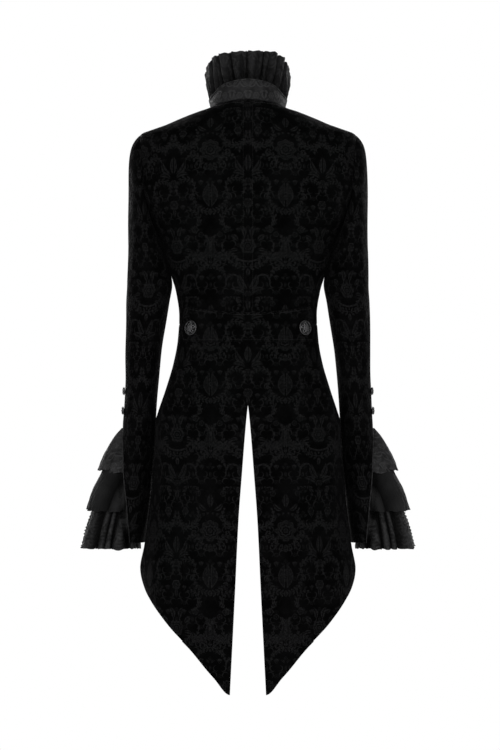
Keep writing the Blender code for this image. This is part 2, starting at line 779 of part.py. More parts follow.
def make_ruff(taffeta):
    # The gathered frill on the band: flat where it is sewn on, and in deep waves at its free edge.
    angles = np.linspace(-COLLAR_END, COLLAR_END, RUFF_WAVES * POINTS_PER_WAVE + 1)
    wave = np.cos(np.radians(angles) * RUFF_WAVES * 180.0 / COLLAR_END)[:, None]
    foot = band_top(angles) + np.array([0, 0, SEAM_GAP])
    away = outwards(angles)
    height = ruff_height(np.abs(angles))[:, None]
    flare = ruff_flare(np.abs(angles))[:, None]
    outer = []
    for share in RUFF_SHARES:
        rise = np.array([0, 0, 1.0]) * (height + RUFF_STEP * wave) * share
        spring = flare * share**RUFF_FLARE_GROWTH + RUFF_WAVE * share**RUFF_WAVE_GROWTH * wave
        outer.append(foot + rise + away * spring)
    outer = np.array(outer)
    middles = np.broadcast_to(outer.mean(axis=1, keepdims=True), outer.shape)
    normals = wall_normals(outer, middles)
    normals[0] = away
    cloth("neck_frill", outer, outer - normals * TAFFETA, taffeta)


def make_half_belt(velvet):
    one_side = np.array(BELT_ANGLES)
    angles = np.concatenate([-one_side[:0:-1], one_side])
    radius = np.linalg.norm(body_point(BELT_END, BELT_BUTTON_HEIGHT)[:2])
    to_end = np.clip(BELT_CORNER - np.radians(BELT_END - np.abs(angles)) * radius, 0, None)
    corner = BELT_CORNER - np.sqrt(np.clip(BELT_CORNER**2 - to_end**2, 0, None))
    share = (np.abs(angles) / BELT_END) ** 2
    top = BELT_TOP_MIDDLE + (BELT_TOP_END - BELT_TOP_MIDDLE) * share - corner
    bottom = BELT_BOTTOM + corner
    levels = np.array([top + (bottom - top) * part for part in np.linspace(0, 1, BELT_ROWS)])
    angles = np.broadcast_to(angles, levels.shape)
    body_piece("half_belt", angles, levels, velvet, thickness=BELT_CLOTH, raised=BELT_CLOTH + LIFT)


def make_button(name, centre, way_out, radius, metal, sides):
    # A domed shank button, turned about its own axis and stood on the cloth.
    thick = radius * BUTTON_THICKNESS
    shape = bmesh.new()
    points = [shape.verts.new((across * radius, 0, height * thick)) for across, height in BUTTON_PROFILE]
    edges = [shape.edges.new(pair) for pair in zip(points, points[1:])]
    bmesh.ops.spin(
        shape,
        geom=points + edges,
        cent=(0, 0, 0),
        axis=(0, 0, 1),
        dvec=(0, 0, 0),
        angle=2 * math.pi,
        steps=sides,
        use_merge=True,
        use_duplicate=False,
    )
    bmesh.ops.remove_doubles(shape, verts=shape.verts, dist=WELD)
    bmesh.ops.recalc_face_normals(shape, faces=shape.faces)
    mesh_data = bpy.data.meshes.new(name)
    shape.to_mesh(mesh_data)
    shape.free()
    button = add_object(name, mesh_data, metal)
    button.rotation_mode = "QUATERNION"
    button.rotation_quaternion = Vector(way_out).to_track_quat("Z", "Y")
    button.location = Vector(centre)
    return button


def make_belt_buttons(metal):
    angle = float(angle_across(BELT_BUTTON_ACROSS, BELT_BUTTON_HEIGHT))
    normal = body_normal(angle, BELT_BUTTON_HEIGHT)
    centre = body_point(angle, BELT_BUTTON_HEIGHT) + normal * (BELT_CLOTH + LIFT + BUTTON_GAP)
    for side_name, side in SIDES:
        flip = np.array([side, 1, 1])
        name = f"belt_button_{side_name}"
        make_button(name, centre * flip, normal * flip, BELT_BUTTON_RADIUS, metal, BELT_BUTTON_SIDES)


def make_cuff_buttons(metal):
    for number, height in enumerate(CUFF_BUTTON_HEIGHTS, 1):
        centre, before, after = (
            sleeve_section(np.array(CUFF_BUTTON_TURN + step), height) for step in (0.0, -1.0, 1.0)
        )
        beside = after - before
        normal = unit(np.cross(beside, np.array([0, 0, 1.0])))
        for side_name, side in SIDES:
            flip = np.array([side, 1, 1])
            name = f"cuff_button_{number}_{side_name}"
            place = (centre + normal * BUTTON_GAP) * flip
            make_button(name, place, normal * flip, CUFF_BUTTON_RADIUS, metal, SMALL_BUTTON_SIDES)


def make_front_buttons(metal):
    for number, height in enumerate(FRONT_BUTTONS, 1):
        normal = body_normal(180.0, height)
        centre = body_point(180.0, height) + normal * (VELVET + LIFT + BUTTON_GAP)
        name = f"front_button_{number}"
        make_button(name, centre, normal, FRONT_BUTTON_RADIUS, metal, SMALL_BUTTON_SIDES)


def clear_scene():
    for obj in list(bpy.data.objects):
        bpy.data.objects.remove(obj, do_unlink=True)


def main():
    clear_scene()
    finishes = make_finishes()
    velvet, taffeta, metal = (finishes[row[0]] for row in FINISHES)
    make_back(velvet)
    make_side_back(velvet)
    make_fronts(velvet)
    make_tails(velvet)
    make_side_skirts(velvet)
    make_sleeves(velvet)
    make_wrist_frills(taffeta)
    make_band(taffeta)
    make_ruff(taffeta)
    make_half_belt(velvet)
    make_belt_buttons(metal)
    make_cuff_buttons(metal)
    make_front_buttons(metal)


main()
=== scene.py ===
import math

import bpy
import numpy as np
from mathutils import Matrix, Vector


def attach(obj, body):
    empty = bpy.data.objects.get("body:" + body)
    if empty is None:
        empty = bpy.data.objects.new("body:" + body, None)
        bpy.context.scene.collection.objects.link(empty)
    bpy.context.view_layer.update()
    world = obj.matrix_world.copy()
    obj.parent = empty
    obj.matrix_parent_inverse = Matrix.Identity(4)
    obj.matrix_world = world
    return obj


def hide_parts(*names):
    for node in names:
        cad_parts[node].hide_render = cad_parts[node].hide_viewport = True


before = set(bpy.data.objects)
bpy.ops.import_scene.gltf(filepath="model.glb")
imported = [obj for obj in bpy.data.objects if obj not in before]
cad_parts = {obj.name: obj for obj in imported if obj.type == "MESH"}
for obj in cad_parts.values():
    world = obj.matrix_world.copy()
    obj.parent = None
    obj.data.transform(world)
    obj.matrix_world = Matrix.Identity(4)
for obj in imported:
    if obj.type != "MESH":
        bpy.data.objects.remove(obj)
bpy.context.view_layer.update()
for obj in bpy.context.selected_objects:
    obj.select_set(False)
print("frame loaded")


# the coat's form: heights are from the foot of the neck band, and each table is read as smooth lines
shoulderTip, armpit, waist, tailTip = -0.046, -0.210, -0.385, -1.041
seamGap = 0.0003

# height at the side, half the width, depth behind, depth in front, squareness
bodyRows = (
    (0.016, 0.0590, 0.062, 0.050, 2.0),
    (0.000, 0.0658, 0.067, 0.056, 2.0),
    (-0.007, 0.0920, 0.073, 0.061, 2.0),
    (-0.018, 0.1210, 0.079, 0.066, 2.05),
    (-0.030, 0.1490, 0.084, 0.071, 2.15),
    (-0.0365, 0.1680, 0.0865, 0.0735, 2.2),
    (-0.046, 0.1915, 0.090, 0.077, 2.3),
    (-0.062, 0.1980, 0.095, 0.083, 2.45),
    (-0.100, 0.2015, 0.102, 0.097, 2.6),
    (-0.150, 0.1970, 0.106, 0.112, 2.6),
    (-0.180, 0.1840, 0.105, 0.119, 2.5),
    (-0.210, 0.1685, 0.102, 0.121, 2.35),
    (-0.238, 0.1566, 0.098, 0.120, 2.3),
    (-0.262, 0.1483, 0.094, 0.116, 2.3),
    (-0.288, 0.1406, 0.089, 0.109, 2.3),
    (-0.328, 0.1285, 0.082, 0.098, 2.3),
    (-0.370, 0.1228, 0.078, 0.092, 2.3),
    (-0.413, 0.1258, 0.083, 0.094, 2.3),
    (-0.456, 0.1335, 0.093, 0.099, 2.3),
    (-0.498, 0.1460, 0.106, 0.104, 2.3),
    (-0.541, 0.1598, 0.117, 0.108, 2.3),
    (-0.558, 0.1642, 0.119, 0.109, 2.3),
    (-0.609, 0.1665, 0.126, 0.112, 2.3),
    (-0.698, 0.1720, 0.132, 0.115, 2.3),
    (-0.778, 0.1810, 0.136, 0.118, 2.3),
    (-0.819, 0.1878, 0.138, 0.119, 2.3),
    (-0.900, 0.1900, 0.142, 0.120, 2.3),
    (-1.060, 0.1930, 0.148, 0.120, 2.3),
)
# height, inner edge, half the width, middle depth, half the depth
sleeveRows = (
    (-0.245, 0.1530, 0.0305, -0.002, 0.0680),
    (-0.280, 0.1419, 0.0366, -0.004, 0.0655),
    (-0.313, 0.1350, 0.0404, -0.006, 0.0630),
    (-0.345, 0.1405, 0.0385, -0.008, 0.0605),
    (-0.385, 0.1467, 0.0358, -0.010, 0.0580),
    (-0.435, 0.1545, 0.0323, -0.016, 0.0540),
    (-0.490, 0.1600, 0.0298, -0.022, 0.0490),
    (-0.541, 0.1635, 0.0294, -0.028, 0.0465),
    (-0.590, 0.1662, 0.0300, -0.032, 0.0470),
    (-0.640, 0.1695, 0.0308, -0.036, 0.0495),
    (-0.700, 0.1755, 0.0325, -0.038, 0.0535),
    (-0.775, 0.1835, 0.0335, -0.040, 0.0585),
)
# height, distance from the centre: the back seam, the vent's edge and the tail's edge over its pleat
backSeamRows = (
    (-0.160, 0.1790), (-0.208, 0.1480), (-0.260, 0.1190), (-0.311, 0.0960), (-0.349, 0.0885),
    (waist, 0.0880),
)
ventRows = (
    (waist, -0.0030), (-0.515, -0.0022), (-0.5295, 0.0002), (-0.562, 0.0036), (-0.648, 0.0105),
    (-0.733, 0.0168), (-0.862, 0.0230), (tailTip, 0.0320),
)
pleatRows = (
    (waist, 0.1130), (-0.420, 0.1110), (-0.500, 0.1080), (-0.620, 0.1090), (-0.760, 0.1130), (-0.960, 0.1170),
)
# degrees from the centre back, height of the hem
hemRows = (
    (0.0, -1.045), (13.0, tailTip), (22.8, -1.011), (36.5, -0.968), (51.5, -0.926), (63.5, -0.883),
    (74.5, -0.862), (82.0, -0.840), (88.5, -0.813), (93.0, -0.787), (99.0, -0.740), (107.0, -0.648),
    (114.0, -0.530), (120.0, -0.412),
)
# height, half the opening of the wrist slit in degrees round the sleeve
slitRows = (
    (-0.560, 0.5), (-0.575, 13.0), (-0.600, 26.0), (-0.650, 47.0), (-0.700, 72.0), (-0.740, 87.0),
    (-0.775, 100.0),
)
# height, how far from the centre the wrist frills reach
reachRows = (
    (-0.570, 0.2260), (-0.584, 0.2370), (-0.600, 0.2455), (-0.634, 0.2590), (-0.650, 0.2630),
    (-0.682, 0.2750), (-0.714, 0.2815), (-0.749, 0.2885), (-0.784, 0.2925),
)
# degrees from the centre back, height, and how far the band leans in or the frill flares out
bandRows = (
    (0.0, 0.0350, 0.0030), (45.0, 0.0312, 0.0034), (71.0, 0.0205, 0.0002), (90.0, 0.0155, -0.0030),
    (180.0, 0.0150, 0.0000),
)
ruffRows = (
    (0.0, 0.0500, 0.0050), (25.0, 0.0512, 0.0050), (48.0, 0.0548, 0.0035), (68.0, 0.0605, 0.0020),
    (82.0, 0.0545, 0.0030), (95.0, 0.0500, 0.0040), (115.0, 0.0480, 0.0120), (180.0, 0.0440, 0.0150),
)


def smoothLines(rows):
    # one smooth function of the first column for each other column, with no overshoot
    table = np.array(rows, float)
    table = table[np.argsort(table[:, 0])]
    at, step = table[:, 0], np.diff(table[:, 0])

    def line(to):
        slope = np.diff(to) / step
        tangent = np.concatenate([slope[:1], np.zeros(len(at) - 2), slope[-1:]])
        sameWay = slope[:-1] * slope[1:] > 0
        total = np.where(sameWay, slope[:-1] + slope[1:], 1.0)
        tangent[1:-1] = np.where(sameWay, 2 * slope[:-1] * slope[1:] / total, 0.0)

        def value(x):
            x = np.clip(x, at[0], at[-1])
            i = np.clip(np.searchsorted(at, x) - 1, 0, len(step) - 1)
            t = (x - at[i]) / step[i]
            start = to[i] * (1 + 2 * t) + tangent[i] * step[i] * t
            end = to[i + 1] * (3 - 2 * t) - tangent[i + 1] * step[i] * (1 - t)
            return start * (1 - t) ** 2 + end * t**2

        return value

    return [line(column) for column in table.T[1:]]


bodyHalf, bodyBack, bodyFront, bodyPower = smoothLines(bodyRows)
sleeveInner, sleeveHalf, sleeveMiddle, sleeveDepth = smoothLines(sleeveRows)
(backSeam,), (vent,) = smoothLines(backSeamRows), smoothLines(ventRows)
(pleat,), (hem,) = smoothLines(pleatRows), smoothLines(hemRows)
(slit,), (reach,) = smoothLines(slitRows), smoothLines(reachRows)
(bandHeight, bandLean), (ruffHeight, ruffFlare) = smoothLines(bandRows), smoothLines(ruffRows)


def ease(t):
    t = np.clip(t, 0.0, 1.0)
    return t * t * (3 - 2 * t)


def unit(vectors):
    return vectors / np.maximum(np.linalg.norm(vectors, axis=-1, keepdims=True), 1e-12)


# the skirt's soft folds: degrees from the centre back, width in degrees, rise
skirtFolds = ((27, 9, 0.0045), (62, 7, 0.006), (88, 8, 0.005), (108, 7, 0.006))
foldsFrom, foldsGrow = waist - 0.06, 0.45
# how the rings tip: up at the nape, down at the throat, and down again in the fronts' point
tipping = {"nape": 0.016, "throat": 0.062, "point": 0.062, "pointFrom": 126.0}


def foldRise(angle, level):
    # the folds grow from the hip down to the hem
    rise = np.zeros(np.shape(angle))
    for fold, width, most in skirtFolds:
        rise = rise + most * np.exp(-(((np.abs(angle) - fold) / width) ** 2))
    return rise * ease((foldsFrom - level) / foldsGrow)


def heightOf(angle, level):
    behind = np.cos(np.radians(angle))
    rise = tipping["nape"] * np.clip(behind, 0, 1) ** 1.5 - tipping["throat"] * np.clip(-behind, 0, 1) ** 1.3
    drop = tipping["point"] * ease((np.abs(angle) - tipping["pointFrom"]) / (180.0 - tipping["pointFrom"]))
    lower = np.clip((level - armpit) / (waist - armpit), 0, 1)
    return level + rise * np.clip(1 - level / armpit, 0, 1) - drop * lower**2


def bodyPoint(angle, level):
    # angle in degrees: 0 at the centre back, 90 at the wearer's left; level is the height at the side
    angle, level = np.broadcast_arrays(np.asarray(angle, float), np.asarray(level, float))
    behind, aside = np.cos(np.radians(angle)), np.sin(np.radians(angle))
    depth = np.where(behind >= 0, bodyBack(level), bodyFront(level))
    power = bodyPower(level)
    radius = (np.abs(behind) / depth) ** power + (np.abs(aside) / bodyHalf(level)) ** power
    radius = radius ** (-1 / power) + foldRise(angle, level)
    return np.stack([radius * aside, radius * behind, heightOf(angle, level)], -1)


def bodyNormal(angle, level):
    up = bodyPoint(angle, level + 0.001) - bodyPoint(angle, level - 0.001)
    beside = bodyPoint(angle + 0.3, level) - bodyPoint(angle - 0.3, level)
    return unit(np.cross(up, beside))


def angleAcross(across, level):
    ratio = np.clip(across / bodyHalf(level), 0.0, 1.0)
    power = bodyPower(level)
    return np.degrees(np.arctan2(across, bodyBack(level) * (1 - ratio**power) ** (1 / power)))


armholeMiddle, armholeHalf, armholeDepth = (shoulderTip + armpit) / 2, (shoulderTip - armpit) / 2, 0.053


def armholeAngle(level, inFront=False):
    depth = armholeDepth * np.sqrt(np.clip(1 - ((level - armholeMiddle) / armholeHalf) ** 2, 0, 1))
    whole = bodyFront(level) if inFront else bodyBack(level)
    power = bodyPower(level)
    across = bodyHalf(level) * (1 - (depth / whole) ** power) ** (1 / power)
    angle = np.degrees(np.arctan2(across, depth))
    return 180.0 - angle if inFront else angle


# how far each point lies along the cloth from the centre back, and up or down it, for the pattern
# keptRow: the row whose pattern height is its real one
patternTable = {"degrees": 2.0, "metres": 0.005, "lowest": -1.06, "columns": 101, "rows": 213, "keptRow": 150}
tableAngles = np.arange(patternTable["columns"]) * patternTable["degrees"]
tableLevels = np.arange(patternTable["rows"]) * patternTable["metres"] + patternTable["lowest"]
tablePoints = bodyPoint(tableAngles[None, :], tableLevels[:, None])
aroundSteps = np.linalg.norm(np.diff(tablePoints[..., :2], axis=1), axis=-1)
upwardSteps = np.linalg.norm(np.diff(tablePoints, axis=0), axis=-1)
aroundTable = np.pad(np.cumsum(aroundSteps, axis=1), ((0, 0), (1, 0)))
upwardTable = np.pad(np.cumsum(upwardSteps, axis=0), ((1, 0), (0, 0)))
upwardTable += tablePoints[patternTable["keptRow"], :, 2] - upwardTable[patternTable["keptRow"]]


def lookUp(values, angle, level):
    column = np.clip(np.abs(angle) / patternTable["degrees"], 0, patternTable["columns"] - 1.001)
    row = np.clip((level - patternTable["lowest"]) / patternTable["metres"], 0, patternTable["rows"] - 1.001)
    i, j = row.astype(int), column.astype(int)
    s, t = row - i, column - j
    lower = values[i, j] * (1 - t) + values[i, j + 1] * t
    upper = values[i + 1, j] * (1 - t) + values[i + 1, j + 1] * t
    return lower * (1 - s) + upper * s


def girth(angle, level):
    return lookUp(aroundTable, angle, level)


def spaced(length, step, edge=(0.0, 0.0003, 0.0008, 0.0016, 0.0030)):
    # shares from 0 to 1, close together at both ends so that a cut edge turns over softly
    near = np.array(edge) / length
    middle = np.linspace(edge[-1] / length, 1 - edge[-1] / length, max(int(length / step), 3))
    return np.concatenate([near[:-1], middle, 1 - near[:-1][::-1]])


def creaseRise(u, v, creases):
    # each crease: from (u, v) to (u, v), how wide it is and how far it rises; all in metres
    rise = np.zeros(np.shape(u))
    for u0, v0, u1, v1, width, most in creases:
        along = np.array([u1 - u0, v1 - v0])
        share = ((u - u0) * along[0] + (v - v0) * along[1]) / (along @ along)
        t = np.clip(share, 0, 1)
        off = np.hypot(u - u0 - t * along[0], v - v0 - t * along[1])
        fade = np.clip(4 * t * (1 - t), 0, 1) ** 0.6
        rise = rise + most * fade * np.exp(-((off / width) ** 2))
    return rise


def gridNormals(grid, inside, wraps=False):
    down = np.gradient(grid, axis=0)
    across = np.roll(grid, -1, axis=1) - np.roll(grid, 1, axis=1) if wraps else np.gradient(grid, axis=1)
    normals = unit(np.cross(down, across))
    return normals if np.sum(normals * (grid - inside)) > 0 else -normals


seamDipWidth = 0.0028


def runAlong(points, axis=0):
    # the distance along each line of points from its first one
    steps = np.linalg.norm(np.diff(points, axis=axis), axis=-1)
    widths = [(0, 0)] * steps.ndim
    widths[axis] = (1, 0)
    return np.pad(np.cumsum(steps, axis=axis), widths)


def makePiece(name, points, faces, uv=None, crest=None):
    mesh = bpy.data.meshes.new(name)
    mesh.from_pydata(points.tolist(), [], faces)
    if uv is not None:
        layer = mesh.uv_layers.new(name="cloth")
        corners = np.zeros(len(mesh.loops), np.int32)
        mesh.loops.foreach_get("vertex_index", corners)
        layer.data.foreach_set("uv", uv[corners].astype(np.float32).ravel())
    # the crest attribute carries painted shade, darker deep in folds, which the cloth materials multiply into their
    # colour
    if crest is not None:
        mesh.attributes.new("crest", "FLOAT", "POINT").data.foreach_set("value", crest.astype(np.float32))
    mesh.shade_smooth()
    mesh.validate()
    piece = bpy.data.objects.new(name, mesh)
    bpy.context.scene.collection.objects.link(piece)
    return piece


def shell(
    name, grid, normals, thick, u, v, dips=(0, 0, 0, 0), wraps=False, side=1, turnOver=0.0012, crest=None,
):
    # a closed thin wall on a grid of outer points, with soft edges
    # dips sink its left, right, top and bottom seams, and crest is the painted fold shade for materials with folds
    rows, cols = grid.shape[:2]
    left, top = runAlong(grid, 1), runAlong(grid, 0)
    borders = [left, left[:, -1:] - left, top, top[-1:] - top]
    if wraps:
        borders[0] = borders[1] = np.full((rows, cols), 9.0)  # a tube has no side edges
    edge = np.minimum.reduce(borders)
    plump = np.sqrt(np.clip(1 - (1 - np.clip(edge / turnOver, 0, 1)) ** 2, 0, 1))
    sink = sum(dip * np.exp(-((border / seamDipWidth) ** 2)) for dip, border in zip(dips, borders))
    middle = grid - normals * (thick / 2 + sink)[..., None]
    half = normals * (plump * thick / 2)[..., None]
    outer, inner = middle + half, middle - half

    ids = np.arange(rows * cols).reshape(rows, cols)
    onEdge = np.zeros((rows, cols), bool)
    onEdge[0] = onEdge[-1] = True
    if not wraps:
        onEdge[:, 0] = onEdge[:, -1] = True
    innerIds = np.where(onEdge, ids, rows * cols + np.cumsum(~onEdge).reshape(rows, cols) - 1)
    points = np.concatenate([outer.reshape(-1, 3), inner[~onEdge]])
    uv = np.stack([u, v], -1)
    uv = np.concatenate([uv.reshape(-1, 2), uv[~onEdge]])
    points = points * np.array([side, 1, 1])

    def quads(table):
        turned = np.roll(table, -1, axis=1) if wraps else table[:, 1:]
        first = table if wraps else table[:, :-1]
        return np.stack([first[:-1], turned[:-1], turned[1:], first[1:]], -1).reshape(-1, 4)

    front, back = quads(ids), quads(innerIds)[:, ::-1]
    a, b, c, _ = (points[front[:, i]] for i in range(4))
    wayOut = (normals[:-1, :] if wraps else normals[:-1, :-1]).reshape(-1, 3) * np.array([side, 1, 1])
    faces = np.concatenate([front, back])
    if np.sum(np.cross(b - a, c - a) * wayOut) < 0:
        faces = faces[:, ::-1]
    if crest is not None:
        paintedFoldShade = np.broadcast_to(crest, (rows, cols))
        crest = np.concatenate([paintedFoldShade.ravel(), paintedFoldShade[~onEdge]])
    return makePiece(name, points, faces.tolist(), uv, crest)


def finish(piece, material, slotName, *nodes):
    if material:
        piece.data.materials.clear()
        piece.data.materials.append(material)
    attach(piece, "root")
    if nodes:
        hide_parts(*nodes)
    return piece


sheetSizes = []
softEdges = 0.003  # what the two rounded edges of a sheet take


def declareCloth(piece, grid):
    # the cut size: the widest row by the longest column, and the cloth's own area
    width = round(float(runAlong(grid, 1)[:, -1].max()) + softEdges, 3)
    length = round(float(runAlong(grid, 0)[-1].max()) + softEdges, 3)
    area = sum(polygon.area for polygon in piece.data.polygons) / 2
    area = min(max(area, 0.31 * width * length), width * length)
    sheetSizes.append((piece.name, width, length, round(area, 4)))


def addNode(tree, kind, inputs=(), **settings):
    node = tree.nodes.new(kind)
    for key, value in settings.items():
        setattr(node, key, value)
    for place, value in inputs:
        if isinstance(value, bpy.types.NodeSocket):
            tree.links.new(value, node.inputs[place])
        else:
            node.inputs[place].default_value = value
    return node


def calc(tree, operation, *values):
    return addNode(tree, "ShaderNodeMath", enumerate(values), operation=operation).outputs[0]


def remap(tree, value, low, high, toLow=0.0, toHigh=1.0, kind="SMOOTHSTEP"):
    settings = (
        ("Value", value), ("From Min", low), ("From Max", high), ("To Min", toLow), ("To Max", toHigh),
    )
    return addNode(tree, "ShaderNodeMapRange", settings, interpolation_type=kind).outputs[0]


def noise(tree, vector, scale, detail=2.0, rough=0.5):
    settings = (("Vector", vector), ("Scale", scale), ("Detail", detail), ("Roughness", rough))
    return addNode(tree, "ShaderNodeTexNoise", settings).outputs["Fac"]


def placed(tree, vector, x, y, turn=0.0, wide=1.0, high=1.0):
    # the space of a shape at (x, y), turned in degrees and stretched
    settings = (
        ("Vector", vector), ("Location", (x, y, 0)), ("Rotation", (0, 0, math.radians(turn))),
        ("Scale", (wide, high, 1)),
    )
    return addNode(tree, "ShaderNodeMapping", settings, vector_type="TEXTURE").outputs[0]


def split(tree, vector):
    return addNode(tree, "ShaderNodeSeparateXYZ", ((0, vector),)).outputs


def lengthOf(tree, vector):
    return addNode(tree, "ShaderNodeVectorMath", ((0, vector),), operation="LENGTH").outputs["Value"]


# each shape is a field in millimetres, above nought inside it, so shapes join by their greatest value
def leafShape(tree, vector, x, y, turn, length, width, bend=0.0, vein=0.0):
    px, py, _ = split(tree, placed(tree, vector, x, y, turn, length, width))
    hump = calc(tree, "MULTIPLY", px, calc(tree, "SUBTRACT", 1.0, px))
    off = calc(tree, "ABSOLUTE", calc(tree, "MULTIPLY_ADD", hump, -4.0 * bend / width, py))
    field = calc(tree, "MULTIPLY", calc(tree, "SUBTRACT", calc(tree, "MULTIPLY", hump, 2.0), off), width)
    if vein:
        field = calc(tree, "MINIMUM", field, calc(tree, "MULTIPLY_ADD", off, width, -vein))
    return field


def arcShape(tree, vector, x, y, turn, radius, thick, spread):
    local = placed(tree, vector, x, y, turn, radius, radius)
    px = split(tree, local)[0]
    taper = remap(tree, px, math.cos(math.radians(spread)), 1.0, 0.0, thick, "LINEAR")
    off = calc(tree, "ABSOLUTE", calc(tree, "SUBTRACT", lengthOf(tree, local), 1.0))
    return calc(tree, "MULTIPLY_ADD", off, -radius, taper)


def roseShape(tree, vector, x, y, radius, petals):
    local = placed(tree, vector, x, y, 0.0, radius, radius)
    px, py, _ = split(tree, local)
    around = calc(tree, "MULTIPLY", calc(tree, "ARCTAN2", py, px), petals / 2)
    lobe = calc(tree, "ABSOLUTE", calc(tree, "COSINE", around))
    rim = calc(tree, "MULTIPLY_ADD", lobe, 0.20, 0.80)
    out = lengthOf(tree, local)
    field = calc(tree, "SUBTRACT", rim, out)
    for share, gap in ((0.62, 0.045), (0.32, 0.05)):
        ring = calc(tree, "ABSOLUTE", calc(tree, "MULTIPLY_ADD", rim, -share, out))
        field = calc(tree, "MINIMUM", field, calc(tree, "SUBTRACT", ring, gap))
    return calc(tree, "MULTIPLY", field, radius)


def frondShape(tree, vector, x, y, turn, radius, spread, leaves, length, width, slant, stem):
    # leaflets on both sides of a stem that follows part of a circle
    local = placed(tree, vector, x, y, turn)
    px, py, _ = split(tree, local)
    angle = calc(tree, "ARCTAN2", py, px)
    off = calc(tree, "ABSOLUTE", calc(tree, "SUBTRACT", lengthOf(tree, local), radius))
    left = calc(tree, "MULTIPLY_ADD", calc(tree, "ABSOLUTE", angle), -1.0 / math.radians(spread), 1.0)
    taper = calc(tree, "MULTIPLY_ADD", calc(tree, "SQRT", calc(tree, "MAXIMUM", left, 0.0)), length, 0.01)
    q = calc(tree, "DIVIDE", off, taper)
    pitch = 2 * math.radians(spread) * radius / leaves
    run = calc(tree, "MULTIPLY", angle, radius / pitch)
    cell = calc(tree, "FRACT", calc(tree, "MULTIPLY_ADD", off, -slant / pitch, run))
    along = calc(tree, "ABSOLUTE", calc(tree, "SUBTRACT", cell, 0.5))
    hump = calc(tree, "MULTIPLY", q, calc(tree, "SUBTRACT", 1.0, q))
    leaf = calc(tree, "MULTIPLY_ADD", hump, 4.0 * width, calc(tree, "MULTIPLY", along, -pitch))
    whole = calc(tree, "MAXIMUM", leaf, calc(tree, "SUBTRACT", stem, off))
    return calc(tree, "MINIMUM", whole, calc(tree, "MULTIPLY", left, 20.0))


shapeMakers = {"leaf": leafShape, "arc": arcShape, "rose": roseShape, "frond": frondShape}


def repeatGroup(name, repeat):
    # a repeat in millimetres that is mirrored about its two upright edges, from its list of shapes
    group = bpy.data.node_groups.new(name, "ShaderNodeTree")
    group.interface.new_socket("Vector", in_out="INPUT", socket_type="NodeSocketVector")
    group.interface.new_socket("Shape", in_out="OUTPUT", socket_type="NodeSocketFloat")
    start = group.nodes.new("NodeGroupInput")
    px, py, _ = split(group, start.outputs[0])
    folded = calc(group, "PINGPONG", px, repeat["halfWidth"])
    wrapped = calc(group, "WRAP", py, repeat["height"], 0.0)
    tile = addNode(group, "ShaderNodeCombineXYZ", ((0, folded), (1, wrapped))).outputs[0]
    whole = None
    for kind, *values in repeat["shapes"]:
        made = shapeMakers[kind](group, tile, *values)
        whole = made if whole is None else calc(group, "MAXIMUM", whole, made)
    end = group.nodes.new("NodeGroupOutput")
    # a figure is brightest along its outline, where the pile is pressed most
    filled = remap(group, whole, 0.0, repeat["soft"])
    inner = remap(group, whole, 1.1, 2.3, 1.0, 0.40)
    group.links.new(calc(group, "MULTIPLY", filled, inner), end.inputs[0])
    return group


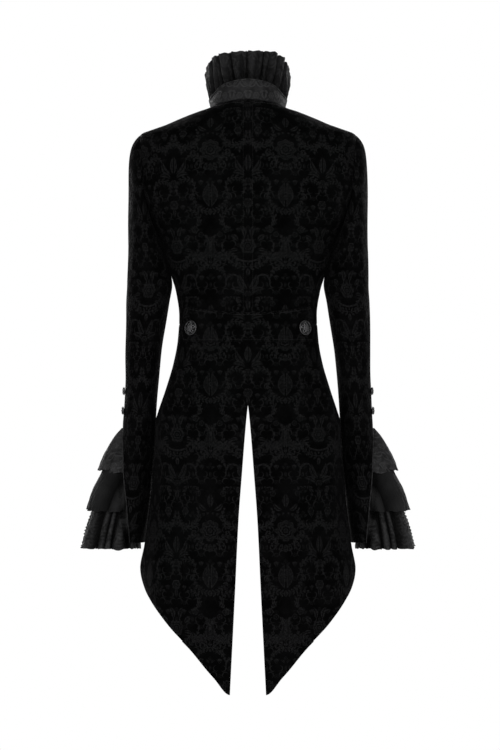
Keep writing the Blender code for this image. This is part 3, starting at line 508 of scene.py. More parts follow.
# leaf: x, y, turn, length, width, bend, vein; arc: x, y, turn, radius, thickness, spread; rose: x, y, radius,
# petals; frond: x, y, turn, radius, spread, leaflets, their length, width and slant, thickness of the stem
damaskRepeat = {
    "halfWidth": 67.0,
    "height": 343.0,
    "soft": 0.7,
    "shapes": (
        # the leafy cup on the centre line, with a rose and buds in it
        ("frond", 0, 100, 270, 47, 88, 17, 8.0, 2.6, 0.7, 1.0),
        ("arc", 0, 100, 270, 37, 2.0, 74),
        ("rose", 0, 91, 15, 7),
        ("leaf", 6, 106, 70, 24, 9, 3, 0.5),
        ("leaf", 17, 98, 40, 20, 8, 3, 0.5),
        ("leaf", 16, 84, 350, 17, 7, 2, 0.5),
        ("rose", 39, 121, 7, 5),
        ("frond", 30, 140, 20, 17, 110, 9, 6.0, 2.2, 0.8, 0.9),
        # the bell under the cup
        ("leaf", 0, 12, 62, 34, 12, -5, 0.7),
        ("leaf", 4, 4, 18, 28, 9, 5, 0.5),
        ("leaf", 0, 36, 90, 16, 8, 0, 0.4),
        ("rose", 0, 4, 7, 6),
        ("arc", 26, 26, 60, 13, 2.2, 120),
        # fronds that turn in from the flower's stem
        ("frond", 42, 92, 330, 24, 84, 11, 9.0, 3.0, 0.9, 1.2),
        ("frond", 67, 30, 90, 27, 84, 11, 8.0, 2.8, 0.8, 1.0),
        ("leaf", 67, 66, 90, 38, 17, 0, 0.8),
        ("leaf", 64, 62, 132, 26, 9, 4, 0.6),
        # the shield with its laurel
        ("leaf", 67, 160, 90, 46, 28, 0, 1.2),
        ("rose", 67, 181, 8, 6),
        ("frond", 67, 184, 270, 31, 118, 19, 7.0, 2.5, 0.8, 0.9),
        # the great rose in its wreath
        ("rose", 67, 264, 19, 8),
        ("frond", 67, 264, 270, 31, 179, 26, 7.5, 2.6, 0.6, 0.0),
        ("leaf", 67, 304, 90, 26, 12, 0, 0.6),
        ("leaf", 62, 300, 140, 22, 8, 4, 0.5),
        # sprays on the centre line between the roses
        ("leaf", 0, 222, 90, 34, 13, 0, 0.8),
        ("leaf", 3, 222, 55, 32, 10, -6, 0.6),
        ("leaf", 4, 214, 15, 26, 9, 6, 0.5),
        ("frond", 22, 196, 100, 17, 120, 10, 6.5, 2.4, 0.8, 1.0),
        ("rose", 0, 206, 7, 6),
        ("frond", 24, 292, 280, 21, 120, 12, 7.5, 2.6, 0.8, 1.1),
        ("rose", 18, 298, 7.5, 6),
        ("leaf", 0, 318, 90, 20, 9, 0, 0.5),
        ("rose", 0, 168, 9, 7),
        ("leaf", 0, 146, 90, 16, 7, 0, 0.4),
        ("frond", 34, 62, 100, 15, 120, 10, 6.0, 2.2, 0.8, 0.9),
        ("frond", 36, 242, 60, 14, 110, 9, 5.5, 2.2, 0.8, 0.9),
        ("frond", 30, 330, 120, 15, 115, 9, 6.0, 2.2, 0.8, 0.9),
        ("frond", 0, 262, 90, 15, 110, 10, 5.5, 2.2, 0.8, 0.9),
        ("leaf", 34, 62, 80, 15, 6, 0, 0.4),
        ("leaf", 30, 172, 60, 18, 7, 3, 0.5),
        ("leaf", 52, 128, 110, 20, 7, 3, 0.5),
        ("rose", 50, 112, 5.5, 5),
        ("rose", 44, 330, 5.5, 5),
    ),
}
fineRepeat = {
    "halfWidth": 16.75,
    "height": 42.875,
    "soft": 0.6,
    "shapes": (
        ("arc", 6, 9, 40, 5.5, 1.3, 150),
        ("arc", 11, 21, 200, 5, 1.3, 150),
        ("leaf", 0, 15, 90, 12, 4.5, 0, 0.4),
        ("leaf", 1, 28, 40, 12, 4, 2, 0.3),
        ("leaf", 16.75, 27, 120, 13, 4, -2, 0.3),
        ("rose", 16.75, 7, 4.2, 5),
        ("rose", 0, 38, 3.6, 5),
        ("leaf", 12, 34, 20, 9, 3.4, 1, 0.0),
    ),
}
smallRepeat = {
    "halfWidth": 15.0,
    "height": 40.0,
    "soft": 0.5,
    "shapes": (
        ("rose", 15, 28, 6.2, 6),
        ("leaf", 9, 24, 215, 11, 4, 2, 0.0),
        ("leaf", 8, 31, 150, 10, 4, -2, 0.0),
        ("leaf", 0, 4, 62, 14, 5, -2, 0.3),
        ("leaf", 0, 22, 75, 13, 4, -2, 0.0),
        ("arc", 6, 12, 300, 8, 1.6, 110),
        ("rose", 0, 19, 3, 5),
        ("arc", 15, 8, 90, 7, 1.4, 100),
    ),
}


def principled(name):
    material = bpy.data.materials.new(name)
    material.use_nodes = True
    tree = material.node_tree
    return material, tree, tree.nodes["Principled BSDF"]


def clothVector(tree, moveUp=0.0):
    # the place on the cloth in millimetres
    uv = addNode(tree, "ShaderNodeUVMap", uv_map="cloth").outputs[0]
    settings = (("Vector", uv), ("Location", (0.0, moveUp * perMetre, 0)), ("Scale", (perMetre,) * 3))
    return addNode(tree, "ShaderNodeMapping", settings).outputs[0]


def grouped(tree, group, vector):
    node = tree.nodes.new("ShaderNodeGroup")
    node.node_tree = group
    tree.links.new(vector, node.inputs[0])
    return node.outputs[0]


def mixColor(tree, factor, first, second, kind="MIX"):
    node = addNode(tree, "ShaderNodeMix", (("Factor", factor),), data_type="RGBA", blend_type=kind)
    for place, value in ((6, first), (7, second)):
        if isinstance(value, bpy.types.NodeSocket):
            tree.links.new(value, node.inputs[place])
        else:
            node.inputs[place].default_value = (*value, 1.0)
    return node.outputs[2]


def objectPosition(tree):
    return addNode(tree, "ShaderNodeTexCoord").outputs["Object"]


def setShader(shader, **values):
    for label, value in values.items():
        shader.inputs[shaderLabels[label]].default_value = value


shaderLabels = {
    "specular": "Specular IOR Level", "sheen": "Sheen Weight", "sheenRough": "Sheen Roughness",
    "sheenTint": "Sheen Tint", "metallic": "Metallic", "rough": "Roughness",
}
damask, brocade = repeatGroup("damask", damaskRepeat), repeatGroup("brocade", smallRepeat)
fine = repeatGroup("damaskFilling", fineRepeat)
perMetre = 1000.0  # the repeats are in millimetres
velvetLook = {
    "ground": (0.00034, 0.00034, 0.00035), "groundBrushedSheen": (0.00085, 0.00085, 0.00088),
    "motif": (0.0048, 0.0048, 0.0049), "motifDark": (0.0016, 0.0016, 0.0017),
    "filling": 0.86, "fillingLow": 0.15, "specular": 0.006, "sheen": 0.0022,
}


def makeVelvet(name, moveUp):
    # a deep pile with the damask pressed flat into it, so that it shines a little more
    look = velvetLook
    material, tree, shader = principled(name)
    vector = clothVector(tree, moveUp)
    px, py, _ = split(tree, vector)
    columns = calc(tree, "COSINE", calc(tree, "MULTIPLY", px, math.pi / damaskRepeat["halfWidth"]))
    rows = calc(tree, "COSINE", calc(tree, "MULTIPLY_ADD", py, 4 * math.pi / damaskRepeat["height"], 1.1))
    nearMotif = calc(tree, "MULTIPLY", columns, rows)
    busy = remap(tree, nearMotif, -0.60, 0.05, look["fillingLow"], look["filling"])
    filling = calc(tree, "MULTIPLY", grouped(tree, fine, vector), busy)
    shape = calc(tree, "MAXIMUM", grouped(tree, damask, vector), filling)
    position = objectPosition(tree)
    # brushed patches: the pile's own lie, which changes roughness, and painted sheen, which lightens the ground's
    # colour
    brushedPileAndSheen = remap(tree, noise(tree, position, 22.0, 3.0, 0.6), 0.35, 0.7)
    pile = noise(tree, position, 1500.0, 2.0, 0.7)
    ground = mixColor(tree, brushedPileAndSheen, look["ground"], look["groundBrushedSheen"])
    speckle = remap(tree, noise(tree, position, 420.0, 2.0, 0.6), 0.35, 0.65)
    motif = mixColor(tree, speckle, look["motifDark"], look["motif"])
    color = mixColor(tree, shape, ground, motif)
    tree.links.new(color, shader.inputs["Base Color"])
    rough = calc(tree, "MULTIPLY_ADD", shape, -0.28, calc(tree, "MULTIPLY_ADD", brushedPileAndSheen, -0.08, 0.95))
    tree.links.new(rough, shader.inputs["Roughness"])
    setShader(shader, specular=look["specular"], sheen=look["sheen"], sheenRough=0.42)
    setShader(shader, sheenTint=(0.9, 0.9, 0.95, 1.0))
    nap = addNode(tree, "ShaderNodeBump", (("Strength", 0.5), ("Distance", 0.0003), ("Height", pile)))
    tree.links.new(nap.outputs[0], shader.inputs["Normal"])
    return material


def weave(tree, vector, threads):
    # a plain weave: threads over and under, as many for each millimetre as given
    px, py, _ = split(tree, vector)
    over = calc(tree, "SINE", calc(tree, "MULTIPLY", px, threads * 2 * math.pi))
    under = calc(tree, "SINE", calc(tree, "MULTIPLY", py, threads * 2 * math.pi))
    return calc(tree, "MULTIPLY", over, under)


def paintFoldShade(tree, color, paintedShadeDeepest):
    # painted shade: the cloth's colour is darkened deep in its folds by the crest attribute and kept full on their
    # crests
    crest = addNode(tree, "ShaderNodeAttribute", attribute_name="crest").outputs["Fac"]
    paintedFoldShade = mixColor(tree, crest, (paintedShadeDeepest, paintedShadeDeepest, paintedShadeDeepest), (1.0, 1.0, 1.0))
    return mixColor(tree, 1.0, paintedFoldShade, color, kind="MULTIPLY")


# turned: the figure's turn in degrees; crumpled: how creased the cloth is all over
# deepest: how dark the shade painted deep in a fold is
bandLook = {
    "dark": (0.0030, 0.0030, 0.0031), "light": (0.0135, 0.0135, 0.0138), "contrast": 1.0, "sheen": 0.012,
    "specular": 0.03, "turned": 0.0, "crumpled": 0.0, "paintedShadeDeepest": 0.0,
}
cuffFrillLook = {
    "dark": (0.0062, 0.0062, 0.0063), "light": (0.0235, 0.0235, 0.0239), "contrast": 0.75, "sheen": 0.005,
    "specular": 0.015, "turned": 32.0, "crumpled": 0.6, "paintedShadeDeepest": 0.03,
}
neckFrillLook = {
    "dark": (0.0026, 0.0026, 0.0027), "light": (0.0115, 0.0115, 0.0118), "contrast": 0.8, "sheen": 0.008,
    "specular": 0.02, "turned": 12.0, "crumpled": 0.3, "paintedShadeDeepest": 0.06,
}


def makeBrocade(name, look):
    # taffeta or jacquard with a small woven figure, crisp and slightly shiny
    material, tree, shader = principled(name)
    vector, position = clothVector(tree), objectPosition(tree)
    dark, light = look["dark"], look["light"]
    shape = grouped(tree, brocade, placed(tree, vector, 0, 0, look["turned"]))
    cloudy = remap(tree, noise(tree, position, 60.0, 3.0, 0.6), 0.3, 0.7)
    fleck = remap(tree, noise(tree, position, 520.0, 2.0, 0.7), 0.3, 0.7)
    ground = mixColor(tree, cloudy, dark, tuple(0.5 * (a + b) for a, b in zip(dark, light)))
    figure = mixColor(tree, fleck, tuple(0.65 * a for a in light), light)
    color = mixColor(tree, calc(tree, "MULTIPLY", shape, look["contrast"]), ground, figure)
    # painted shade deep in the folds
    if look["paintedShadeDeepest"]:
        color = paintFoldShade(tree, color, look["paintedShadeDeepest"])
    tree.links.new(color, shader.inputs["Base Color"])
    tree.links.new(calc(tree, "MULTIPLY_ADD", shape, -0.16, 0.62), shader.inputs["Roughness"])
    setShader(shader, specular=look["specular"], sheen=look["sheen"], sheenRough=0.35)
    height = calc(tree, "MULTIPLY_ADD", weave(tree, vector, 2.6), 0.18, shape)
    if look["crumpled"]:
        settings = (("Vector", position), ("Scale", 160.0))
        cells = addNode(tree, "ShaderNodeTexVoronoi", settings, feature="SMOOTH_F1")
        height = calc(tree, "MULTIPLY_ADD", cells.outputs["Distance"], look["crumpled"], height)
    bump = addNode(tree, "ShaderNodeBump", (("Strength", 0.8), ("Distance", 0.00035), ("Height", height)))
    tree.links.new(bump.outputs[0], shader.inputs["Normal"])
    return material


chiffonLook = {
    "dark": (0.0049, 0.0049, 0.0050), "light": (0.0078, 0.0078, 0.0079), "sheen": 0.007, "specular": 0.012,
    "paintedShadeDeepest": 0.10,
}


def makeChiffon(name, look):
    # smooth and even crepe with fine lengthwise crinkles
    material, tree, shader = principled(name)
    vector, position = clothVector(tree), objectPosition(tree)
    cloudy = remap(tree, noise(tree, position, 30.0, 3.0, 0.5), 0.3, 0.7)
    crinkle = noise(tree, placed(tree, vector, 0, 0, 0, 0.7, 9.0), 1.0, 3.0, 0.6)
    # painted shade deep in the folds
    color = paintFoldShade(tree, mixColor(tree, cloudy, look["dark"], look["light"]), look["paintedShadeDeepest"])
    tree.links.new(color, shader.inputs["Base Color"])
    tree.links.new(remap(tree, crinkle, 0.3, 0.7, 0.58, 0.74, "LINEAR"), shader.inputs["Roughness"])
    setShader(shader, specular=look["specular"], sheen=look["sheen"], sheenRough=0.4)
    height = calc(tree, "MULTIPLY_ADD", weave(tree, vector, 3.4), 0.25, crinkle)
    bump = addNode(tree, "ShaderNodeBump", (("Strength", 0.6), ("Distance", 0.0003), ("Height", height)))
    tree.links.new(bump.outputs[0], shader.inputs["Normal"])
    return material


filigreeLook = {"dull": (0.016, 0.016, 0.0165), "bright": (0.070, 0.070, 0.072), "rough": (0.20, 0.38)}
plateLook = {"dull": (0.0005, 0.0005, 0.0005), "bright": (0.0016, 0.0016, 0.0016), "rough": (0.4, 0.6)}
threadLook = {"dark": (0.0015, 0.0015, 0.0015), "light": (0.0050, 0.0050, 0.0052), "twist": 1400.0}


def makeMetal(name, look):
    # aged metal, unevenly worn
    material, tree, shader = principled(name)
    worn = noise(tree, objectPosition(tree), 700.0, 3.0, 0.6)
    tree.links.new(mixColor(tree, worn, look["dull"], look["bright"]), shader.inputs["Base Color"])
    tree.links.new(remap(tree, worn, 0.3, 0.7, *look["rough"], "LINEAR"), shader.inputs["Roughness"])
    setShader(shader, metallic=1.0)
    bump = addNode(tree, "ShaderNodeBump", (("Strength", 0.4), ("Distance", 0.0001), ("Height", worn)))
    tree.links.new(bump.outputs[0], shader.inputs["Normal"])
    return material


def makeThread(name, look):
    material, tree, shader = principled(name)
    settings = (("Vector", objectPosition(tree)), ("Scale", look["twist"]), ("Distortion", 1.0))
    twist = addNode(tree, "ShaderNodeTexWave", settings, bands_direction="DIAGONAL").outputs["Fac"]
    tree.links.new(mixColor(tree, twist, look["dark"], look["light"]), shader.inputs["Base Color"])
    setShader(shader, rough=0.5, specular=0.2)
    return material


# the velvet's repeat starts at its own height on each piece
bodyVelvet = makeVelvet("velvetBody", 0.336)
sleeveVelvet = makeVelvet("velvetSleeve", 0.416)
beltVelvet = makeVelvet("velvetBelt", 0.250)
bandJacquard = makeBrocade("bandJacquard", bandLook)
frillTaffeta = makeBrocade("frillTaffeta", cuffFrillLook)
ruffTaffeta = makeBrocade("ruffTaffeta", neckFrillLook)
chiffon = makeChiffon("frillChiffon", chiffonLook)
filigree = makeMetal("wornMetal", filigreeLook)
darkMetal = makeMetal("tarnishedMetal", plateLook)
thread = makeThread("blackThread", threadLook)
print("materials made")


# thick: the velvet with what backs it; spread: how far its edges reach over a seam's gap
# tuck: the sleeve's allowance inside the armhole
velvet = {"thick": 0.0020, "step": 0.0042, "seamDip": 0.0005, "spread": 0.0004, "tuck": 0.0045}
# degrees round the body, height, to degrees, height, width and rise in metres; minus is the wearer's right
bodyCreases = (
    (70, -0.172, 38, -0.214, 0.0085, -0.0013),
    (-71, -0.168, -42, -0.206, 0.0080, -0.0012),
    (64, -0.196, 40, -0.236, 0.0075, 0.0010),
    (-66, -0.200, -36, -0.238, 0.0085, 0.0011),
    (84, -0.300, 46, -0.322, 0.0060, -0.0011),
    (-82, -0.306, -50, -0.326, 0.0065, -0.0012),
    (86, -0.326, 60, -0.338, 0.0055, 0.0009),
    (-88, -0.330, -57, -0.345, 0.0060, 0.0010),
    (78, -0.346, 42, -0.350, 0.0050, -0.0009),
    (-80, -0.349, -45, -0.352, 0.0052, -0.0009),
    (58, -0.420, 50, -0.548, 0.0110, -0.0030),
    (-57, -0.420, -51, -0.536, 0.0105, -0.0028),
    (72, -0.440, 66, -0.640, 0.0170, 0.0026),
    (-71, -0.446, -67, -0.626, 0.0160, 0.0025),
    (40, -0.470, 33, -0.720, 0.0130, -0.0018),
    (-41, -0.480, -35, -0.700, 0.0140, -0.0020),
    (22, -0.600, 20, -0.900, 0.0120, 0.0018),
    (-20, -0.620, -22, -0.920, 0.0125, 0.0019),
    (50, -0.660, 45, -0.880, 0.0110, 0.0020),
    (-49, -0.650, -46, -0.870, 0.0120, 0.0021),
    (100, -0.430, 96, -0.600, 0.0130, -0.0024),
    (-101, -0.436, -95, -0.610, 0.0125, -0.0022),
    (112, -0.170, 142, -0.214, 0.0090, -0.0014),
    (-113, -0.172, -140, -0.220, 0.0085, -0.0013),
    (118, -0.150, 150, -0.182, 0.0080, 0.0011),
    (-116, -0.154, -148, -0.190, 0.0085, 0.0012),
    (95, -0.316, 140, -0.334, 0.0060, -0.0011),
    (-97, -0.320, -136, -0.340, 0.0062, -0.0012),
    (100, -0.346, 150, -0.352, 0.0055, 0.0009),
    (-96, -0.350, -146, -0.356, 0.0058, 0.0009),
)
metresPerDegree = 0.0024


def scaledCreases(creases, toArc):
    # creases whose turns are made into metres
    return [(toArc(a), b, toArc(c), d, wide, most) for a, b, c, d, wide, most in creases]


def bodyCreaseRise(angle, level, side):
    creases = scaledCreases(bodyCreases, lambda degrees: degrees * metresPerDegree)
    u = angle * side * metresPerDegree
    ripple = 0.00035 * np.sin(u * 61 + level * 23 + 1.3) * np.sin(level * 47 - u * 19)
    return creaseRise(u, level, creases) + ripple


def bodyPanel(name, angles, levels, side, dips, raised=0.0, fromFront=False):
    # a velvet piece on the coat's form; raised lifts it, and fromFront starts its pattern at the centre front
    normals = bodyNormal(angles, levels)
    lift = np.broadcast_to(raised, angles.shape) + bodyCreaseRise(angles, levels, side)
    grid = bodyPoint(angles, levels) + normals * lift[..., None]
    u, v = girth(angles, levels), lookUp(upwardTable, angles, levels)
    if fromFront:
        u = girth(np.full(u.shape, 180.0), levels) - u
    piece = shell(name + "_cloth", grid, normals, velvet["thick"], u, v, dips, side=side)
    finish(piece, bodyVelvet, "velvet", name)
    declareCloth(piece, grid)


def edgeStep(angle, level, distance):
    return np.degrees(distance / np.linalg.norm(bodyPoint(angle, level)[..., :2], axis=-1))


def betweenEdges(levels, starts, ends, shares):
    # rows of angles between two edges, each let out a hair so that neighbours meet at the seam
    starts = starts + edgeStep(starts, levels, seamGap / 2 - velvet["spread"])
    ends = ends - edgeStep(ends, levels, seamGap / 2 - velvet["spread"])
    return starts[:, None] + (ends - starts)[:, None] * shares


def bodiceLevels():
    # rows follow the armhole's curve, so they crowd at its top and foot
    upper = spaced(-shoulderTip, velvet["step"]) * shoulderTip
    turn = np.linspace(0, np.pi, 44)[1:-1]
    middle = armholeMiddle + armholeHalf * np.cos(turn)
    lower = armpit + spaced(armpit - waist, velvet["step"]) * (waist - armpit)
    return np.concatenate([upper[:-4], [shoulderTip], middle, [armpit], lower[4:]])


levels = bodiceLevels()
seamTop = backSeamRows[0][0]
backLevels = np.sort(np.concatenate([levels, [seamTop + 0.0001]]))[::-1]
backEnds = np.where(
    backLevels > shoulderTip, 90.0,
    np.where(backLevels > seamTop, armholeAngle(backLevels), angleAcross(backSeam(backLevels), backLevels)),
)
dip = velvet["seamDip"]
# how far the fronts reach past the centre, and how far the right one lies over the left
# from, over: where it starts to rise and within how many degrees
overlap = {"reach": 0.012, "right": 0.0027, "from": 148.0, "over": 14.0}
for sideName, side in (("left", 1), ("right", -1)):
    angles = betweenEdges(backLevels, np.zeros(len(backLevels)), backEnds, spaced(0.16, velvet["step"]))
    heights = np.broadcast_to(backLevels[:, None], angles.shape)
    bodyPanel(f"back_{sideName}", angles, heights, side, (dip, dip, dip, dip))

    sideLevels = np.concatenate([[seamTop], levels[levels < seamTop]])
    starts = angleAcross(backSeam(sideLevels), sideLevels)
    ends = np.where(sideLevels > armpit, armholeAngle(sideLevels), 90.0)
    angles = betweenEdges(sideLevels, starts, ends, spaced(0.05, velvet["step"]))
    heights = np.broadcast_to(sideLevels[:, None], angles.shape)
    bodyPanel(f"side_back_{sideName}", angles, heights, side, (dip, dip, 0, dip))

    starts = np.where((levels > armpit) & (levels <= shoulderTip), armholeAngle(levels, True), 90.0)
    ends = 180.0 + np.degrees(np.arcsin(overlap["reach"] / bodyFront(levels)))
    angles = betweenEdges(levels, starts, ends, spaced(0.17, velvet["step"]))
    heights = np.broadcast_to(levels[:, None], angles.shape)
    raised = (overlap["right"] if sideName == "right" else 0.0) * ease((angles - overlap["from"]) / overlap["over"])
    bodyPanel(f"front_{sideName}", angles, heights, side, (dip, 0, dip, dip), raised, fromFront=True)

skirtShares = spaced(0.62, velvet["step"])
# how far the right tail lies under the left at the vent, and the side skirt under the tail at the pleat
skirt = {
    "vent": 0.0023, "ventOver": 5.0, "pleat": 0.0034, "pleatReach": 5.0, "pleatFrom": 1.0, "pleatOver": 16.0,
    "frontEdge": 119.0,
}


def skirtLevels(angles):
    top = waist - seamGap + velvet["spread"]
    return top + (hem(angles) - top) * skirtShares[:, None]


def uprightEdge(across):
    angles = np.full(len(skirtShares), 5.0)
    for _ in range(20):
        edgeLevels = skirtLevels(angles[None, :])[np.arange(len(angles)), np.arange(len(angles))]
        angles = angleAcross(across(edgeLevels), edgeLevels)
    return angles


ventEdge, pleatEdge = uprightEdge(vent), uprightEdge(pleat)
for sideName, side in (("left", 1), ("right", -1)):
    shares = spaced(0.13, velvet["step"])
    angles = ventEdge[:, None] + (pleatEdge - ventEdge)[:, None] * shares
    away = ease((angles - ventEdge[:, None]) / skirt["ventOver"])
    under = (0.0 if sideName == "left" else -skirt["vent"]) * (1 - away)
    bodyPanel(f"tail_{sideName}", angles, skirtLevels(angles), side, (0, 0, dip, 0), under)
    shares = spaced(0.22, velvet["step"])
    starts = pleatEdge - skirt["pleatReach"]
    angles = starts[:, None] + (skirt["frontEdge"] - starts)[:, None] * shares
    away = ease((angles - pleatEdge[:, None] - skirt["pleatFrom"]) / skirt["pleatOver"])
    under = -skirt["pleat"] * (1 - away)
    levels = skirtLevels(angles)
    bodyPanel(f"side_skirt_{sideName}", angles, levels, side, (0, 0, dip, 0), under)
print("body and skirts made")

# the half belt has rounded ends and lies over the waist seam; its end is in degrees from the centre back
belt = {
    "cloth": 0.0024, "lift": 0.0007, "corner": 0.016, "end": 75.0, "topMiddle": -0.3640, "topEnd": -0.3500,
    "bottom": -0.4165, "middle": -0.392,
}
beltAngles = -belt["end"] + 2 * belt["end"] * spaced(0.32, 0.004)
beltRadius = np.linalg.norm(bodyPoint(belt["end"], belt["middle"])[:2])
toEnd = np.clip(belt["corner"] - np.radians(belt["end"] - np.abs(beltAngles)) * beltRadius, 0, None)
corner = belt["corner"] - np.sqrt(np.clip(belt["corner"] ** 2 - toEnd**2, 0, None))
toTop = (np.abs(beltAngles) / belt["end"]) ** 2
beltTop = belt["topMiddle"] + (belt["topEnd"] - belt["topMiddle"]) * toTop - corner
beltBottom = belt["bottom"] + corner
beltLevels = beltTop + (beltBottom - beltTop) * spaced(0.06, 0.0035)[:, None]
beltGridAngles = np.broadcast_to(beltAngles, beltLevels.shape)
beltNormals = bodyNormal(beltGridAngles, beltLevels)
beltGrid = bodyPoint(beltGridAngles, beltLevels) + beltNormals * (belt["cloth"] + belt["lift"])
u, v = girth(beltGridAngles, beltLevels), beltGrid[..., 2]
piece = shell("half_belt_cloth", beltGrid, beltNormals, belt["cloth"], u, v, turnOver=0.0016)
finish(piece, beltVelvet, "velvet", "half_belt")
declareCloth(piece, beltGrid)
print("half belt made")


# where the two seams start and end round the sleeve, and their gap, in degrees
# round: half the sleeve's width, for its pattern; axis: a place within it; sunk: the allowance below the seam
sleeve = {
    "hindTop": 97.005, "foreTop": -131.19, "foreFoot": -172.0, "seam": -0.22, "seamFoot": -0.560,
    "slitTop": -0.572, "piping": 0.0009, "round": 0.048, "axis": 0.178, "sunk": 0.0009,
}
slitEdges = []
# turn round the sleeve in degrees, height, to turn, height, width and rise
sleeveCreases = {
    "left": (
        (30, -0.352, 118, -0.338, 0.0070, -0.0016),
        (20, -0.372, 96, -0.384, 0.0075, 0.0013),
        (58, -0.398, 140, -0.380, 0.0065, -0.0013),
        (-20, -0.340, -120, -0.356, 0.0080, -0.0024),
        (-15, -0.372, -128, -0.384, 0.0085, -0.0026),
        (-40, -0.405, -140, -0.398, 0.0075, -0.0020),
        (60, -0.150, 100, -0.235, 0.0110, -0.0016),
        (96, -0.170, 128, -0.262, 0.0100, 0.0014),
        (-60, -0.150, -104, -0.240, 0.0110, -0.0018),
        (70, -0.455, 130, -0.440, 0.0070, -0.0010),
        (60, -0.560, 120, -0.600, 0.0090, 0.0011),
        (100, -0.640, 110, -0.760, 0.0100, 0.0014),
        (140, -0.620, 138, -0.765, 0.0110, -0.0015),
    ),
    "right": (
        (26, -0.346, 112, -0.340, 0.0070, -0.0015),
        (24, -0.368, 104, -0.376, 0.0075, 0.0013),
        (50, -0.402, 132, -0.390, 0.0070, -0.0014),
        (-24, -0.344, -116, -0.352, 0.0080, -0.0025),
        (-12, -0.376, -126, -0.380, 0.0085, -0.0024),
        (-44, -0.400, -138, -0.404, 0.0075, -0.0021),
        (64, -0.146, 104, -0.230, 0.0110, -0.0016),
        (92, -0.176, 124, -0.258, 0.0100, 0.0013),
        (-62, -0.146, -100, -0.244, 0.0110, -0.0019),
        (74, -0.462, 134, -0.446, 0.0070, -0.0010),
        (56, -0.566, 118, -0.606, 0.0090, 0.0012),
        (96, -0.646, 106, -0.764, 0.0100, 0.0014),
        (136, -0.626, 142, -0.766, 0.0110, -0.0015),
    ),
}


def sleeveSection(turn, height):
    # turn in degrees: 0 faces outwards and 90 backwards
    turn = np.radians(turn)
    half = sleeveHalf(height)
    across = sleeveInner(height) + half + half * np.cos(turn)
    depth = sleeveMiddle(height) + sleeveDepth(height) * np.sin(turn)
    return np.stack([across, depth, np.broadcast_to(height, across.shape)], -1)


def armholePoint(turn):
    level = armholeMiddle + armholeHalf * np.cos(np.radians(turn))
    inFront = np.sin(np.radians(turn)) < 0
    angle = np.where(inFront, armholeAngle(level, True), armholeAngle(level))
    return bodyPoint(angle, level)


def hindSeam(height, edge):
    middle = sleeve["hindTop"] * (1 - ease(height / sleeve["seamFoot"]))
    return middle + edge * (slit(height) + sleeve["seam"])


def foreSeam(height, edge):
    top = sleeve["foreTop"]
    return top + (sleeve["foreFoot"] - top) * ease(height / sleeve["seamFoot"]) + edge * sleeve["seam"]


def sleeveGrid(turns, starts, ends):
    # each column runs from a point of the armhole over the sleeve's head and down to the wrist
    shares = (turns - turns[0]) / (turns[-1] - turns[0])

    def section(seamHeight, height):
        return sleeveSection(starts(seamHeight) + shares * (ends(seamHeight) - starts(seamHeight)), height)

    nearTip = (1 + np.cos(np.radians(turns))) / 2
    sideways = 0.30 * np.sin(np.radians(turns))
    wayOut = unit(np.stack([0.12 + 0.62 * nearTip, sideways, -1.0 + 0.36 * nearTip], -1))
    points = armholePoint(turns)
    grid, heights = [], sleeveRows[0][0]
    seat = points + wayOut * (seamGap - velvet["spread"])
    for back in (1.0, 0.93, 0.8, 0.55, 0.25):
        grid.append(seat - wayOut * velvet["tuck"] * back)
    for t in np.concatenate([[0.0, 0.004, 0.012, 0.03], np.linspace(0.06, 1.0, 30)[:-1]]):
        end = section(heights * t, heights)
        first = points + wayOut * (0.006 + 0.026 * nearTip)[:, None]
        last = end + np.array([0, 0, 1.0]) * (0.012 + 0.155 * nearTip)[:, None]
        near, far = seat * (1 - t) + 3 * first * t, 3 * last * (1 - t) + end * t
        grid.append(near * (1 - t) ** 2 + far * t**2)
    length = sleeveRows[0][0] - sleeveRows[-1][0]
    below = sleeveRows[0][0] - spaced(length, velvet["step"]) * length
    below = np.concatenate([below[:1], below[4:]])
    return np.array(grid + [section(height, height) for height in below])


def turnsOf(grid):
    # each point's turn round the sleeve, for creases and pattern
    height = np.clip(grid[..., 2], sleeveRows[-1][0], sleeveRows[0][0])
    x = (grid[..., 0] - sleeveInner(height) - sleeveHalf(height)) / sleeveHalf(height)
    y = (grid[..., 1] - sleeveMiddle(height)) / sleeveDepth(height)
    return np.degrees(np.arctan2(y, x))


def arcOf(turn):
    return np.radians(turn) * sleeve["round"]


def hindEdge(edge):
    return lambda height: hindSeam(height, edge)


def foreEdge(edge, around=0.0):
    return lambda height: foreSeam(height, edge) + around


